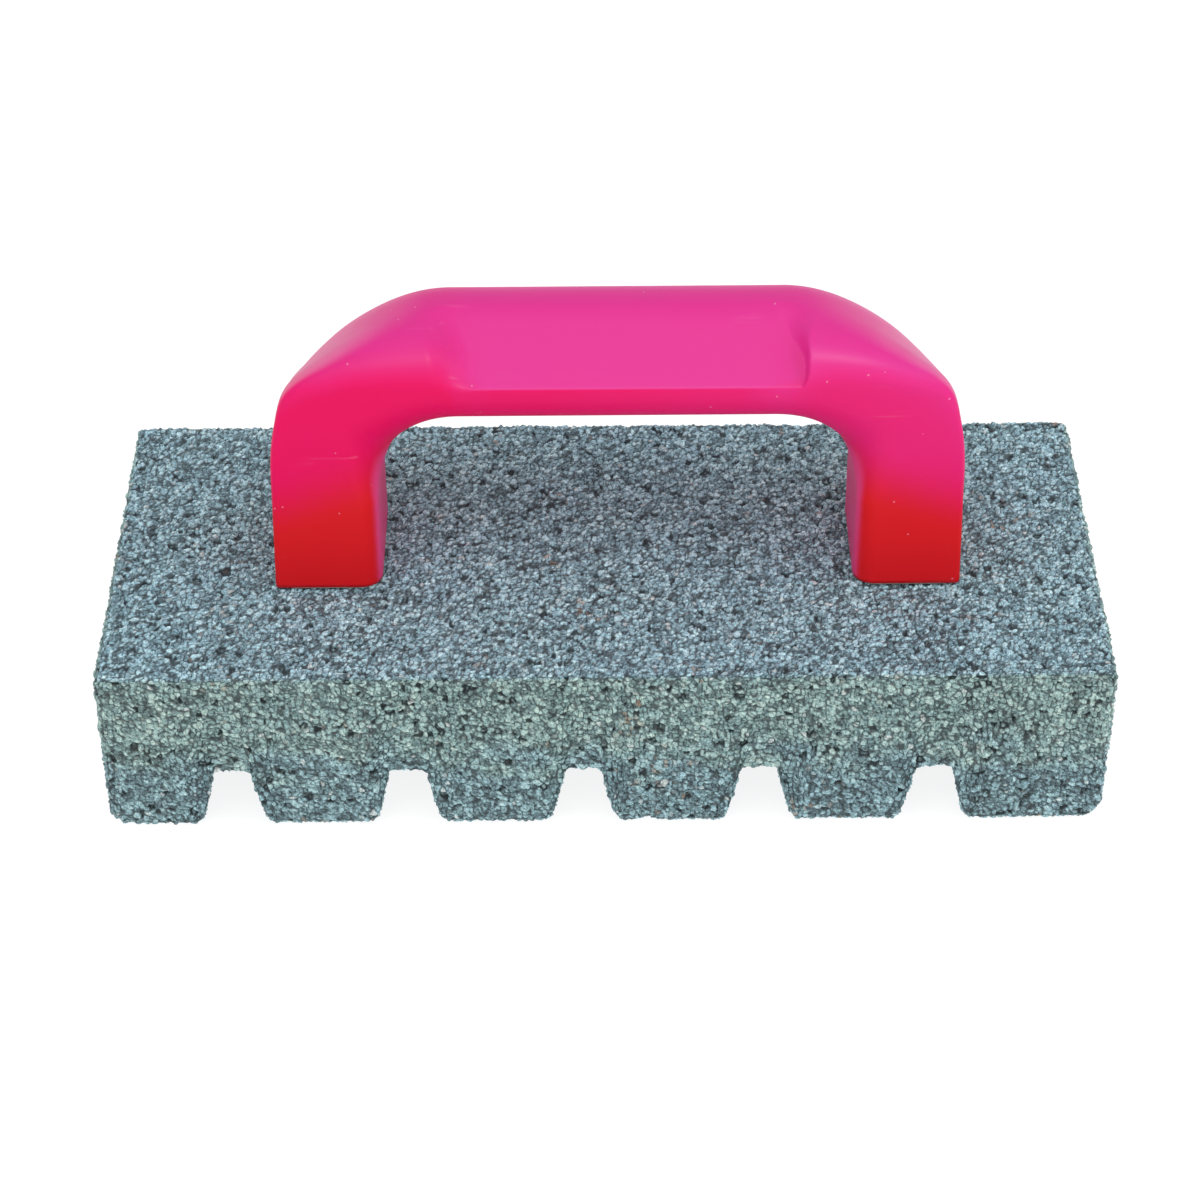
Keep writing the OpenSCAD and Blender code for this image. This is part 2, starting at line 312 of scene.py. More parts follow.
def make_scuff_group():
    """Fine scuffs: stretched noise along two crossing directions, thinned by a cloudy mask.
    Puts out the scuffs as a mask and as a height."""
    group, given, result = new_group(
        "Fine Scuffs", {"Scale": 400.0, "Reach": 0.5}, ["Mask", "Height"])
    place = add_node(group, "ShaderNodeTexCoord", (-1200, -200)).outputs["Object"]
    lines = []
    for number, (spin, stretch) in enumerate(SCUFF_SETS):
        aligned = add_node(group, "ShaderNodeMapping", (-1000, -250 * number), {},
                           Vector=place, Rotation=(*SCUFF_SLANT, spin),
                           Scale=(stretch, 1.0, 1.0))
        noise = add_node(group, "ShaderNodeTexNoise", (-800, -250 * number),
                         Vector=aligned.outputs[0], Scale=given["Scale"], Detail=2.0)
        lines.append(remap(group, noise.outputs[0], SCUFF_BEGIN, SCUFF_FULL,
                           place=(-600, -250 * number)))
    both = maths(group, "MAXIMUM", lines[0], lines[1], (-400, 0))
    cloud = add_node(group, "ShaderNodeTexNoise", (-800, -600), Vector=place,
                     Scale=SCUFF_CLOUDS, Detail=3.0)
    limit = maths(group, "SUBTRACT", 1.0, given["Reach"], (-600, -700))
    patch = remap(group, maths(group, "SUBTRACT", cloud.outputs[0], limit, (-500, -600)),
                  0.0, SCUFF_EDGE, place=(-400, -500))
    mask = maths(group, "MULTIPLY", both, patch, (0, 0))
    group.links.new(mask, result["Mask"])
    group.links.new(maths(group, "MULTIPLY", mask, -1.0, (200, -200)), result["Height"])
    return group


def make_speck_group():
    """Scattered specks: small round cells of which only a share is kept, as a mask."""
    group, given, result = new_group(
        "Scattered Specks", {"Scale": 500.0, "Share": 0.03, "Size": 0.3}, ["Mask"])
    place = add_node(group, "ShaderNodeTexCoord", (-900, -200)).outputs["Object"]
    cells = add_node(group, "ShaderNodeTexVoronoi", (-600, 0), Vector=place,
                     Scale=given["Scale"], Randomness=1.0)
    chance = add_node(group, "ShaderNodeSeparateColor", (-400, -200),
                      Color=cells.outputs["Color"]).outputs[0]
    kept = maths(group, "LESS_THAN", chance, given["Share"], (-200, -200))
    inside = maths(group, "LESS_THAN", cells.outputs["Distance"], given["Size"], (-200, 0))
    group.links.new(maths(group, "MULTIPLY", kept, inside, (0, 0)), result["Mask"])
    return group


def shared_group(name):
    """A shared node group, built the first time that a material asks for it."""
    makers = {"Cloudy Mottle": make_mottle_group, "Fine Scuffs": make_scuff_group,
              "Scattered Specks": make_speck_group}
    return bpy.data.node_groups.get(name) or makers[name]()


def place_group(tree, name, place=(0, 0), **inputs):
    """Places a shared group in a material with this material's own values."""
    node = add_node(tree, "ShaderNodeGroup", place, {"node_tree": shared_group(name)})
    for key, value in inputs.items():
        node.inputs[key].default_value = value
    return node.outputs


def new_material(name, **constants):
    """A node material with its Principled shader, whose plain values are set on its sockets."""
    material = bpy.data.materials.new(name)
    material.use_nodes = True
    tree = material.node_tree
    shader = tree.nodes["Principled BSDF"]
    for key, value in constants.items():
        shader.inputs[key.replace("_", " ")].default_value = value
    return material, tree, shader


# ---------------------------------------------------------------------------------------------
# The stone
# ---------------------------------------------------------------------------------------------

# Faces of the wrap: columns along the block, columns up an end, and rows from front to back
LONG_COLUMNS = 700
END_COLUMNS = 100
FLAT_ROWS = 222
ROUND_ROWS = 9
STONE_PIECES = {
    "stone_working_face_left": (0, 350), "stone_working_face_right": (350, 700),
    "stone_end_right": (700, 800),
    "stone_top_right": (800, 1150), "stone_top_left": (1150, 1500),
    "stone_end_left": (1500, 1600),
}
# Chips: a point on the break, the way that the break faces, and the chip's reach
CHIPS = (
    ((99.0, -44.4, 2.2), (0.62, -0.45, -0.64), 12),
    ((37.5, -44.4, 0.8), (-0.64, -0.42, -0.64), 4),
)
# Dents: middle, reach and depth, in millimetres
DENTS = (
    ((8.5, -44.0, 0.0), 2.6, 1.1),
    ((61.5, -44.4, 11.5), 2.2, 1.0),
    ((-98.5, -44.4, 2.0), 2.4, 0.7),
    ((36.5, -44.4, 1.0), 2.0, 0.8),
    ((43.0, 44.4, 37.5), 2.6, 0.8),
    ((-32.0, 44.4, 37.8), 2.2, 0.7),
    ((-60.0, -44.4, 37.6), 1.8, 0.5),
    ((101.6, 12.0, 37.0), 2.4, 0.8),
)
# Rounding of the wrap where it meets the front and back: the lands' edge radius and the height
# over which it fades, and how far inside each end and the top their own radii begin and fade
LAND_EDGE_RADIUS, LAND_FADE = 1.3 * MM, 5 * MM
END_BEGIN, END_FADE = 3.2 * MM, 2 * MM
TOP_BEGIN, TOP_FADE = 1.7 * MM, 1.5 * MM
# Radius there as a share of the top's radius
TOP_SHARE = 0.95
# Shares of the height between which an end's radius goes over to the top's
UPRIGHT_UNTIL, UPRIGHT_FADE = 0.2, 0.75
# Share of the block's length over which a cap takes up the outline of an end
CAP_FADE = 0.06
# Length over which an outline's normal is averaged
NORMAL_BLUR = 0.12 * MM
# Share of its cell that a grain may lie in, how many numbers are drawn for it (three for its
# place), and a distance in cells that no nearest grain has
GRAIN_SPREAD, GRAIN_NUMBERS, TOO_FAR = 0.86, 8, 9.0
# Slow unevenness: how many waves, the range of their counts per reach, and their usual peak
WAVES, WAVE_RANGE, WAVE_PEAK = 7, (0.6, 1.6), 1.4
# Seeds of each kind of unevenness, counted from the stone's seed
BEND_SEED, CRUMBLE_SEED, SWELL_SEED, STAIN_SEED = 10, 20, 30, 40
# Size of each kind of unevenness, and the distance over which it changes
BEND, BEND_REACH = 0.35 * MM, 3.1 * MM
SWELL, SWELL_REACH = 0.08 * MM, 25 * MM
CRUMBLE_LEAST, CRUMBLE_REACH = 0.45, 9 * MM
STAIN, STAIN_REACH = 0.5, 12 * MM
# Tilt of a grain's facet and the most that it adds
FACET_TILT, FACET_LIMIT = 0.7, 0.16 * MM
# How far an edge's facing leaves the nearest axis
EDGE_TURN = 0.29
# Share of a dent's depth that every grain in it has
DENT_LEAST = 0.6
# Most that a grain stands out of the block's box, and how ragged a chip's break is
OUTWARD_LIMIT, CHIP_RAGGED = 0.2 * MM, 0.5 * MM
# How deep the gaps and the broken grains count, for the painted shade that the material lays
# there
GAP_SHADE, PIT_SHADE = 0.8, 0.6
# Facing and height, as shares, from which the mould's sides are stained, and the least stain
SIDE_FROM, SIDE_RANGE, HIGH_FROM, HIGH_RANGE, LEAST_STAIN = 0.3, 0.5, 0.28, 0.3, 0.45
# How much darker the sides are painted low down, where the stain is weak, as painted shade
LOW_SIDE_TONE = 0.30


def arc_points(x, z, radius, start, end, steps=24):
    """Points of an arc: centre plus radius times cosine and sine of an angle in degrees."""
    angle = np.radians(np.linspace(start, end, steps))
    return np.stack([x + radius * np.cos(angle), z + radius * np.sin(angle)], -1)


def flute_half(stone, side):
    """Half of a flute's outline from the land up to the roof's corner, around a middle at 0: an
    arc into the sloping wall and an arc into the roof. The wall is tangent to both."""
    slope = math.degrees(math.atan(
        (stone.mouth_width - stone.roof_width) / 2 / stone.flute_depth))
    meet = math.tan(math.radians((90 - slope) / 2))
    land = arc_points(0, 0, stone.land_radius, -90, -slope)
    roof = arc_points(0, 0, stone.roof_radius, -slope, 90)
    low = np.stack([stone.mouth_width / 2 + stone.land_radius * meet - land[:, 0],
                    stone.land_radius + land[:, 1]], -1)
    high = np.stack([stone.roof_width / 2 - stone.roof_radius * meet + roof[:, 0],
                     stone.flute_depth - stone.roof_radius + roof[:, 1]], -1)
    return np.concatenate([low, high]) * [side, 1]


def resample(path, count):
    """Points spread evenly by length along a polyline, with its outward normal at each: the
    direction of travel turned a quarter to the right."""
    step = np.linalg.norm(np.diff(path, axis=0), axis=1)
    path = path[np.concatenate([[True], step > 1e-9])]
    run = np.concatenate([[0], np.cumsum(np.linalg.norm(np.diff(path, axis=0), axis=1))])
    at = np.linspace(0, run[-1], count + 1)
    spot = np.stack([np.interp(at, run, path[:, k]) for k in (0, 1)], -1)
    ahead = np.stack([np.interp(at + NORMAL_BLUR, run, path[:, k]) for k in (0, 1)], -1)
    behind = np.stack([np.interp(at - NORMAL_BLUR, run, path[:, k]) for k in (0, 1)], -1)
    heading = ahead - behind
    heading /= np.linalg.norm(heading, axis=1)[:, None]
    return spot, np.stack([heading[:, 1], -heading[:, 0]], -1)


def block_outline(stone):
    """The block's front outline, counter-clockwise from the middle of its lower left corner:
    working face with flutes, right end, top, left end. Each side is spread by its own length."""
    right, top = BLOCK_HIGH[0], BLOCK_HIGH[2]
    worn, crown = stone.worn_radius, stone.top_radius
    flutes = [
        np.concatenate([flute_half(stone, -1), flute_half(stone, 1)[::-1]])
        + [-right + stone.first_flute + number * stone.flute_pitch, 0]
        for number in range(stone.flute_count)]
    low = np.concatenate([arc_points(-right + worn, worn, worn, 225, 270), *flutes,
                          arc_points(right - worn, worn, worn, 270, 315)])
    end = np.concatenate([arc_points(right - worn, worn, worn, 315, 360),
                          arc_points(right - crown, top - crown, crown, 0, 45)])
    high = np.concatenate([arc_points(right - crown, top - crown, crown, 45, 90),
                           arc_points(-right + crown, top - crown, crown, 90, 135)])
    far = end[::-1] * [-1, 1]
    sides = [resample(path, count) for path, count in (
        (low, LONG_COLUMNS), (end, END_COLUMNS), (high, LONG_COLUMNS), (far, END_COLUMNS))]
    spots = np.concatenate([side[0][:-1] for side in sides] + [sides[0][0][:1]])
    normals = np.concatenate([side[1][:-1] for side in sides] + [sides[0][1][:1]])
    normals[[0, -1]] = (normals[1] + normals[-2]) / np.linalg.norm(normals[1] + normals[-2])
    return spots, normals


def wrap_surface(stone):
    """The wrap around the block: the outline carried from front to back. Near each face the
    outline shrinks by r (1 - cos a) while y moves on by r sin a, which rounds the edge. The
    radius r follows the outline: wide on the ends and lands, narrow in the flutes."""
    spots, normals = block_outline(stone)
    half = BLOCK_HIGH[1]
    x, z = spots[:, 0], spots[:, 1]
    top = BLOCK_HIGH[2]
    crown = TOP_SHARE * stone.top_radius
    on_land = 1 - smooth_step(z / LAND_FADE)
    radius = stone.flute_edge_radius + (LAND_EDGE_RADIUS - stone.flute_edge_radius) * on_land
    at_end = smooth_step((np.abs(x) - (BLOCK_HIGH[0] - END_BEGIN)) / END_FADE)
    risen = smooth_step((z - UPRIGHT_UNTIL * top) / (UPRIGHT_FADE * top))
    upright = stone.upright_radius + (crown - stone.upright_radius) * risen
    radius = radius + (upright - radius) * at_end
    on_top = smooth_step((z - (top - TOP_BEGIN)) / TOP_FADE)
    radius = radius + (crown - radius) * on_top
    angle = np.linspace(90, 0, ROUND_ROWS + 1)[:-1]
    angle = np.radians(np.concatenate([angle, np.zeros(FLAT_ROWS), angle[::-1]]))
    side = np.concatenate([-np.ones(ROUND_ROWS), np.linspace(-1, 1, FLAT_ROWS),
                           np.ones(ROUND_ROWS)])
    shrink = radius[:, None] * (1 - np.cos(angle))
    y = side * (half - radius[:, None]) + np.sign(side) * radius[:, None] * np.sin(angle)
    points = np.stack([x[:, None] - normals[:, :1] * shrink, y,
                       z[:, None] - normals[:, 1:] * shrink], -1)
    facing = np.stack([normals[:, :1] * np.cos(angle), np.sign(side) * np.sin(angle) + 0 * y,
                       normals[:, 1:] * np.cos(angle)], -1)
    return points, facing


def cap_surface(loop):
    """A flat cap inside a closed loop of four sides: the two long sides are joined by straight
    lines, and the difference at the two ends is faded in from each end."""
    low = loop[:LONG_COLUMNS + 1]
    end = loop[LONG_COLUMNS:LONG_COLUMNS + END_COLUMNS + 1]
    high = loop[LONG_COLUMNS + END_COLUMNS:2 * LONG_COLUMNS + END_COLUMNS + 1][::-1]
    far = loop[2 * LONG_COLUMNS + END_COLUMNS:][::-1]
    across = np.linspace(0, 1, LONG_COLUMNS + 1)[:, None, None]
    up = np.linspace(0, 1, END_COLUMNS + 1)[None, :, None]
    ruled = low[:, None] * (1 - up) + high[:, None] * up
    at_far = far[None] - (low[0] * (1 - up) + high[0] * up)
    at_end = end[None] - (low[-1] * (1 - up) + high[-1] * up)
    return (ruled + at_far * smooth_step(1 - across / CAP_FADE)
            + at_end * smooth_step(1 - (1 - across) / CAP_FADE))


def nearest_grains(points, pitch, seed):
    """Grains scattered one to a cell of a cubic lattice. For each point: the distance to the
    nearest grain and to the second nearest, the offset from the nearest, and its five numbers
    drawn at random. Only the 27 cells around a point are searched."""
    low = np.floor(points.min(0) / pitch).astype(int) - 2
    count = np.floor(points.max(0) / pitch).astype(int) + 3 - low
    draws = np.random.default_rng(seed).random((*count, GRAIN_NUMBERS), dtype=np.float32)
    draws = draws.reshape(-1, GRAIN_NUMBERS)
    cell = np.floor(points / pitch).astype(int) - low
    inside = points / pitch - low
    nearest = np.full(len(points), TOO_FAR)
    second = np.full(len(points), TOO_FAR)
    offset = np.zeros((len(points), 3))
    owner = np.zeros(len(points), int)
    for step in np.ndindex(3, 3, 3):
        where = cell + step - 1
        flat = np.ravel_multi_index(where.T, count)
        grain = where + 0.5 + GRAIN_SPREAD * (draws[flat, :3] - 0.5)
        away = inside - grain
        distance = np.sqrt((away * away).sum(1))
        closer = distance < nearest
        second = np.where(closer, nearest, np.minimum(second, distance))
        nearest = np.where(closer, distance, nearest)
        owner = np.where(closer, flat, owner)
        offset[closer] = away[closer]
    return nearest * pitch, second * pitch, offset * pitch, draws[owner, 3:]


def wander(points, reach, seed):
    """Slow unevenness between -1 and 1: a mean of sine waves in seeded directions."""
    chance = np.random.default_rng(seed)
    way = chance.normal(size=(WAVES, 3))
    way *= (2 * math.pi / reach * chance.uniform(*WAVE_RANGE, WAVES)
            / np.linalg.norm(way, axis=1))[:, None]
    phase = chance.uniform(0, 2 * math.pi, WAVES)
    return np.sin(points @ way.T + phase).sum(1) / math.sqrt(WAVES) / WAVE_PEAK


def rough_stone(stone, points, facing):
    """Pushes a smooth surface along its normals into a rough one. Depth is the recess, the
    nearest grain's own height and tilted facet, a gap where two grains are equally near, and
    more at the edges. Returns the points, and per point: the grain's tone, with painted shade
    that darkens it low down on the sides, its kind, how deep in a gap the point is, which the
    material paints as shade, and how warm the mould's sides have left its colour."""
    shape = points.shape
    points, facing = points.reshape(-1, 3), facing.reshape(-1, 3)
    # The grains are bent by slow unevenness, so that no lattice shows
    bent = points + BEND * np.stack(
        [wander(points, BEND_REACH, stone.seed + BEND_SEED + axis) for axis in range(3)], -1)
    nearest, second, offset, draw = nearest_grains(bent, stone.grain, stone.seed)
    gap = 1 - smooth_step((second - nearest) / stone.gap_width)
    tilt = draw[:, 2:5] - 0.5
    facet = np.clip((offset * tilt).sum(1) * FACET_TILT, -FACET_LIMIT, FACET_LIMIT)
    broken = draw[:, 0] < stone.pit_share
    height = (stone.relief * (draw[:, 0] - 0.5) + facet * (1 - gap)
              - stone.gap_depth * gap - stone.recess - stone.pit_depth * broken)
    edge = smooth_step((1 - np.abs(facing).max(1)) / EDGE_TURN)
    uneven = wander(points, CRUMBLE_REACH, stone.seed + CRUMBLE_SEED)
    crumble = np.clip(CRUMBLE_LEAST + (1 - CRUMBLE_LEAST) * uneven, 0, 1)
    height -= stone.edge_wear * edge * crumble * (1 + draw[:, 1]) / 2
    height += SWELL * wander(points, SWELL_REACH, stone.seed + SWELL_SEED)
    for middle, reach, depth in DENTS:
        away = np.linalg.norm(points - np.array(middle) * MM, axis=1) / (reach * MM)
        height -= depth * MM * smooth_step(1 - away) * (
            DENT_LEAST + (1 - DENT_LEAST) * draw[:, 1])
    moved = points + facing * np.minimum(height, OUTWARD_LIMIT)[:, None]
    for spot, way, reach in CHIPS:
        way = np.array(way) / np.linalg.norm(way)
        away = moved - np.array(spot) * MM
        beyond = away @ way - CHIP_RAGGED * (draw[:, 1] - 0.5)
        near = smooth_step((reach * MM - np.linalg.norm(away, axis=1)) / MM)
        moved = moved - (np.maximum(beyond, 0) * near)[:, None] * way
    moved[:, 2] = np.maximum(moved[:, 2], BLOCK_LOW[2])
    # Painted shade: how deep a point lies in a gap or a broken grain, which the material darkens
    deep = np.clip(gap * GAP_SHADE + PIT_SHADE * broken, 0, 1)
    side = smooth_step((np.abs(facing[:, :2]).max(1) - SIDE_FROM) / SIDE_RANGE)
    high = smooth_step((points[:, 2] / BLOCK_HIGH[2] - HIGH_FROM) / HIGH_RANGE
                       + STAIN * wander(points, STAIN_REACH, stone.seed + STAIN_SEED))
    warm = side * (LEAST_STAIN + (1 - LEAST_STAIN) * high)
    # Painted shade: the grains' tone is darker low down on the sides
    tone = np.clip(draw[:, 2] - LOW_SIDE_TONE * side * (1 - high), 0, 1)
    colour = np.stack([tone, draw[:, 3], deep, warm], -1)
    return moved.reshape(shape), colour.reshape(*shape[:-1], 4)


# Sizes of the stone's textures, as cells or waves per metre
CRYSTALS, FINE_GRIT, SHADE_LINES, GLINTS = 1900.0, 2600.0, 1050.0, 1500.0
CLOUDS, RUST_PATCHES = 26.0, 55.0
# Share of a tone that comes from the grain and from the crystals in it
GRAIN_TONE, CRYSTAL_TONE = 0.62, 0.38
# Tones at which the darkest, the usual and the palest colour lie
DARK_STOP, MIDDLE_STOP, LIGHT_STOP = 0.12, 0.5, 0.92
# Grains' own numbers between which rust sets in and pale grains end, and how strong both are
RUST_FROM, RUST_FULL, RUST_IN_PATCH, RUST_ELSEWHERE = 0.86, 0.95, 0.75, 0.06
PALE_NONE, PALE_FULL, PALE_STRENGTH = 0.022, 0.018, 0.75
PALE_COLOUR = (0.72, 0.76, 0.74)
# Tints that multiply the colour in the clouds and on the mould's sides
CLOUD_TINT, CLOUD_STRENGTH = (0.94, 0.97, 1.06), 0.4
SIDE_TINT = (0.85, 0.79, 0.67)
# Range of the fine grit's shading and its strength
GRIT_DARK, GRIT_LIGHT, GRIT_STRENGTH = 0.55, 1.4, 0.75
# Painted shade: depth in a gap between which it sets in and how much of it shows, and how
# much the thin lines between grains show
GAP_FROM, GAP_FULL, GAP_STRENGTH, SHADE_LINE_STRENGTH = 0.38, 0.85, 0.92, 0.5
DULL, GLOSSY = 0.72, 0.22


def stone_material(stone):
    """Silicon carbide grains: each takes a tone from dark slate to pale grey by its own number,
    gets painted shade in the gaps and along thin lines between grains, and has finer crystals,
    glints and a few rusty and white grains."""
    material, tree, shader = new_material(
        "abrasive_stone", IOR=1.5, Specular_IOR_Level=0.5)
    grain = add_node(tree, "ShaderNodeVertexColor", (-1500, 200), {"layer_name": "grain"})
    parts = add_node(tree, "ShaderNodeSeparateColor", (-1300, 200), Color=grain.outputs[0])
    tone, kind, deep = parts.outputs[0], parts.outputs[1], parts.outputs[2]
    place = add_node(tree, "ShaderNodeTexCoord", (-1500, -300)).outputs["Object"]
    crystals = add_node(tree, "ShaderNodeTexVoronoi", (-1300, -300), Vector=place,
                        Scale=CRYSTALS)
    facets = add_node(tree, "ShaderNodeSeparateColor", (-1100, -300),
                      Color=crystals.outputs["Color"])
    fine = add_node(tree, "ShaderNodeTexNoise", (-1300, -600), Vector=place, Scale=FINE_GRIT,
                    Detail=3.0, Roughness=0.7)
    mixed = maths(tree, "ADD", maths(tree, "MULTIPLY", tone, GRAIN_TONE, (-1000, 300)),
                  maths(tree, "MULTIPLY", facets.outputs[0], CRYSTAL_TONE, (-1000, 100)),
                  (-800, 200))
    ramp = add_node(tree, "ShaderNodeValToRGB", (-600, 200), Fac=mixed)
    stops = ramp.color_ramp.elements
    stops[0].position, stops[0].color = DARK_STOP, opaque(stone.dark)
    stops[1].position, stops[1].color = LIGHT_STOP, opaque(stone.light)
    middle = stops.new(MIDDLE_STOP)
    middle.color = opaque(stone.middle)
    cloud = place_group(tree, "Cloudy Mottle", (-800, -100), Scale=CLOUDS, Low=0.3, High=0.7)
    tinted = blend_colour(
        tree, maths(tree, "MULTIPLY", cloud["Value"], CLOUD_STRENGTH, (-500, -100)),
        ramp.outputs[0], opaque(CLOUD_TINT), "MULTIPLY", (-400, 200))
    warm = blend_colour(tree, grain.outputs["Alpha"], tinted, opaque(SIDE_TINT),
                        "MULTIPLY", (-250, 200))
    patch = place_group(tree, "Cloudy Mottle", (-800, -500), Scale=RUST_PATCHES, Low=0.5,
                        High=0.72)
    in_patch = maths(tree, "MULTIPLY", patch["Value"], RUST_IN_PATCH)
    rusty = maths(tree, "MULTIPLY", remap(tree, kind, RUST_FROM, RUST_FULL, place=(-800, -350)),
                  maths(tree, "ADD", in_patch, RUST_ELSEWHERE), (-300, -300))
    with_rust = blend_colour(tree, rusty, warm, opaque(stone.rust), place=(-100, 200))
    pale = maths(tree, "MULTIPLY", remap(tree, kind, PALE_NONE, PALE_FULL, place=(-300, -500)),
                 PALE_STRENGTH, (-100, -500))
    with_pale = blend_colour(tree, pale, with_rust, opaque(PALE_COLOUR), place=(100, 200))
    gritty = blend_colour(
        tree, GRIT_STRENGTH, with_pale,
        add_node(tree, "ShaderNodeMapRange", (-100, -700), Value=fine.outputs[0],
                 From_Min=0.3, From_Max=0.7, To_Min=GRIT_DARK, To_Max=GRIT_LIGHT).outputs[0],
        "MULTIPLY", (300, 200))
    # Painted shade along thin lines between the grains, and in the gaps and broken grains
    cells = add_node(tree, "ShaderNodeTexVoronoi", (-100, -1000),
                     {"feature": "DISTANCE_TO_EDGE"}, Vector=place, Scale=SHADE_LINES)
    shade_line = remap(tree, cells.outputs["Distance"], 0.09, 0.02, 0.0, SHADE_LINE_STRENGTH,
                 (100, -1000))
    darkest = maths(tree, "MAXIMUM", shade_line,
                    remap(tree, deep, GAP_FROM, GAP_FULL, 0.0, GAP_STRENGTH, (300, 0)),
                    (400, 0))
    shaded = blend_colour(tree, darkest, gritty, opaque(stone.gap_shade), place=(500, 200))
    tree.links.new(shaded, shader.inputs["Base Color"])
    glint = place_group(tree, "Scattered Specks", (300, -300), Scale=GLINTS, Share=0.10,
                        Size=0.5)
    gloss = remap(tree, glint["Mask"], 0.0, 1.0, DULL, GLOSSY, (500, -300))
    tree.links.new(gloss, shader.inputs["Roughness"])
    height = maths(tree, "ADD", maths(tree, "MULTIPLY", crystals.outputs["Distance"], -0.5),
                   maths(tree, "MULTIPLY", fine.outputs[0], 0.5), (300, -700))
    bump = add_node(tree, "ShaderNodeBump", (500, -600), Height=height, Distance=0.00022,
                    Strength=0.8)
    tree.links.new(bump.outputs[0], shader.inputs["Normal"])
    return material


class RUBBRICK_OT_stone(bpy.types.Operator):
    """Build the abrasive stone from patches that meet along shared points"""

    bl_idname = "rub_brick.stone"
    bl_label = "Abrasive Stone"
    bl_options = {"REGISTER", "UNDO"}

    def execute(self, context):
        stone = context.scene.rub_brick_stone
        points, facing = wrap_surface(stone)
        material = stone_material(stone)
        fronts = (("stone_front", 0, (0, -1, 0)), ("stone_back", -1, (0, 1, 0)))
        patches = []
        for name, row, way in fronts:
            cap = cap_surface(points[:, row])
            patches.append((name, cap, np.broadcast_to(np.array(way, float), cap.shape)))
        everything = np.concatenate([points.reshape(-1, 3)]
                                    + [p.reshape(-1, 3) for _, p, _ in patches])
        directions = np.concatenate([facing.reshape(-1, 3)]
                                    + [f.reshape(-1, 3) for _, _, f in patches])
        moved, colour = rough_stone(stone, everything, directions)
        wrap = points.shape[0] * points.shape[1]
        moved_wrap = moved[:wrap].reshape(points.shape)
        colour_wrap = colour[:wrap].reshape(*points.shape[:-1], 4)
        made = []
        for name, (start, stop) in STONE_PIECES.items():
            part = moved_wrap[start:stop + 1]
            faces = grid_faces(*part.shape[:2])
            made.append(new_piece(name, part.reshape(-1, 3), faces[:, ::-1], material, False,
                                  grain=colour_wrap[start:stop + 1].reshape(-1, 4)))
        first = wrap
        for name, patch, facing_way in patches:
            count = patch.shape[0] * patch.shape[1]
            faces = grid_faces(*patch.shape[:2])
            if name == "stone_front":
                faces = faces[:, ::-1]
            made.append(new_piece(name, moved[first:first + count], faces, material, False,
                                  grain=colour[first:first + count]))
            first += count
        for piece in made:
            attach(piece, BODY)
            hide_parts("abrasive_block")
        return {"FINISHED"}


# ---------------------------------------------------------------------------------------------
# The handle
# ---------------------------------------------------------------------------------------------

SHOULDER_POWER = 2.05
GRIP_POWER = 2.3
FOOT_OUTER_RADIUS = 1 * MM
FOOT_INNER_RADIUS = 4 * MM
FRONT_OPENING = (0.22, 0.95)
BACK_OPENING = (-0.12, 0.47)
INNER_OPENING = (-0.06, 0.5)
LEG_STATIONS, SHOULDER_STATIONS, GRIP_STATIONS = 26, 118, 76
# The shoulder's stations crowd towards the grip by this power
SHOULDER_CROWDING = 1.6
BACK_POINTS, FRONT_POINTS, INNER_POINTS = 44, 84, 34
# Where the shoulder's outer edge kinks, as a share of its bend
KINK_AT, KINK_SPREAD = 0.42, 0.10
# Points of the fine curve that a quarter of a section is spread from
QUARTER_STEPS = 60
# The flat: softness of its lower edge, what its crown line adds to that and how far down, how
# far down its end walls are soft and how much of their width they move outwards there, and the
# stretch around the middle over which the left wall goes over to the right one
EDGE_SOFT, CROWN_SOFT, CROWN_FADE = 0.25 * MM, 0.8 * MM, 6 * MM
WALL_FADE, WALL_SHIFT, WALL_CHANGE = 13 * MM, 0.4, 20 * MM
# Height below the crown that the flat may reach
FLAT_REACH = 20 * MM
# Gap between the foot's hole and the insert in it
HOLE_CLEARANCE = 0.02 * MM
# Rings of a sole, as shares of the way from its rim to the hole, and rings of the hole's roof
SOLE_MIXES, ROOF_SIZES = (0.3, 0.7, 1.0), (0.6, 0.25)
# Painted sheen on what looks up, a painted reflection of the sky: where it begins and over what
# range, and the share of looking outwards
UP_FROM, UP_RANGE, UP_OUTWARDS = 0.14, 0.8, 0.12
# The painted sheen is blurred past the flat: how many rounds, how far before its end, and the
# fade
BLUR_ROUNDS, BLUR_BEFORE, BLUR_FADE = 160, 14 * MM, 10 * MM
# Share of the height by which the painted sheen is full, the painted light that the right side
# has extra and where it begins and is full, and the painted shade by which the left side lacks it
UP_HEIGHT, RIGHT_EXTRA, RIGHT_FROM, RIGHT_RANGE, LEFT_LACK = 0.5, 0.36, 0.1, 0.5, 0.15
# Share of the height where the red near the feet, a painted reflection of the dark stone, begins
# to end, more on their inner side
RED_FROM, RED_INNER, RED_RANGE = 0.20, 0.14, 0.28
# Painted reflection of the stone and painted shade on the legs' inner faces: their strength, from
# what facing they count, and up to what height
RIM, RIM_FROM, RIM_RANGE, RIM_UNTIL, RIM_FADE = 0.9, 0.7, 0.25, 0.5, 0.2
# Painted reflection of the white surroundings at the shoulders' outer edges: weight of looking
# outwards and up, and where it begins
EDGE_REFLECTION_WEIGHT, EDGE_REFLECTION_FROM, EDGE_REFLECTION_RANGE = 0.7, 0.76, 0.22


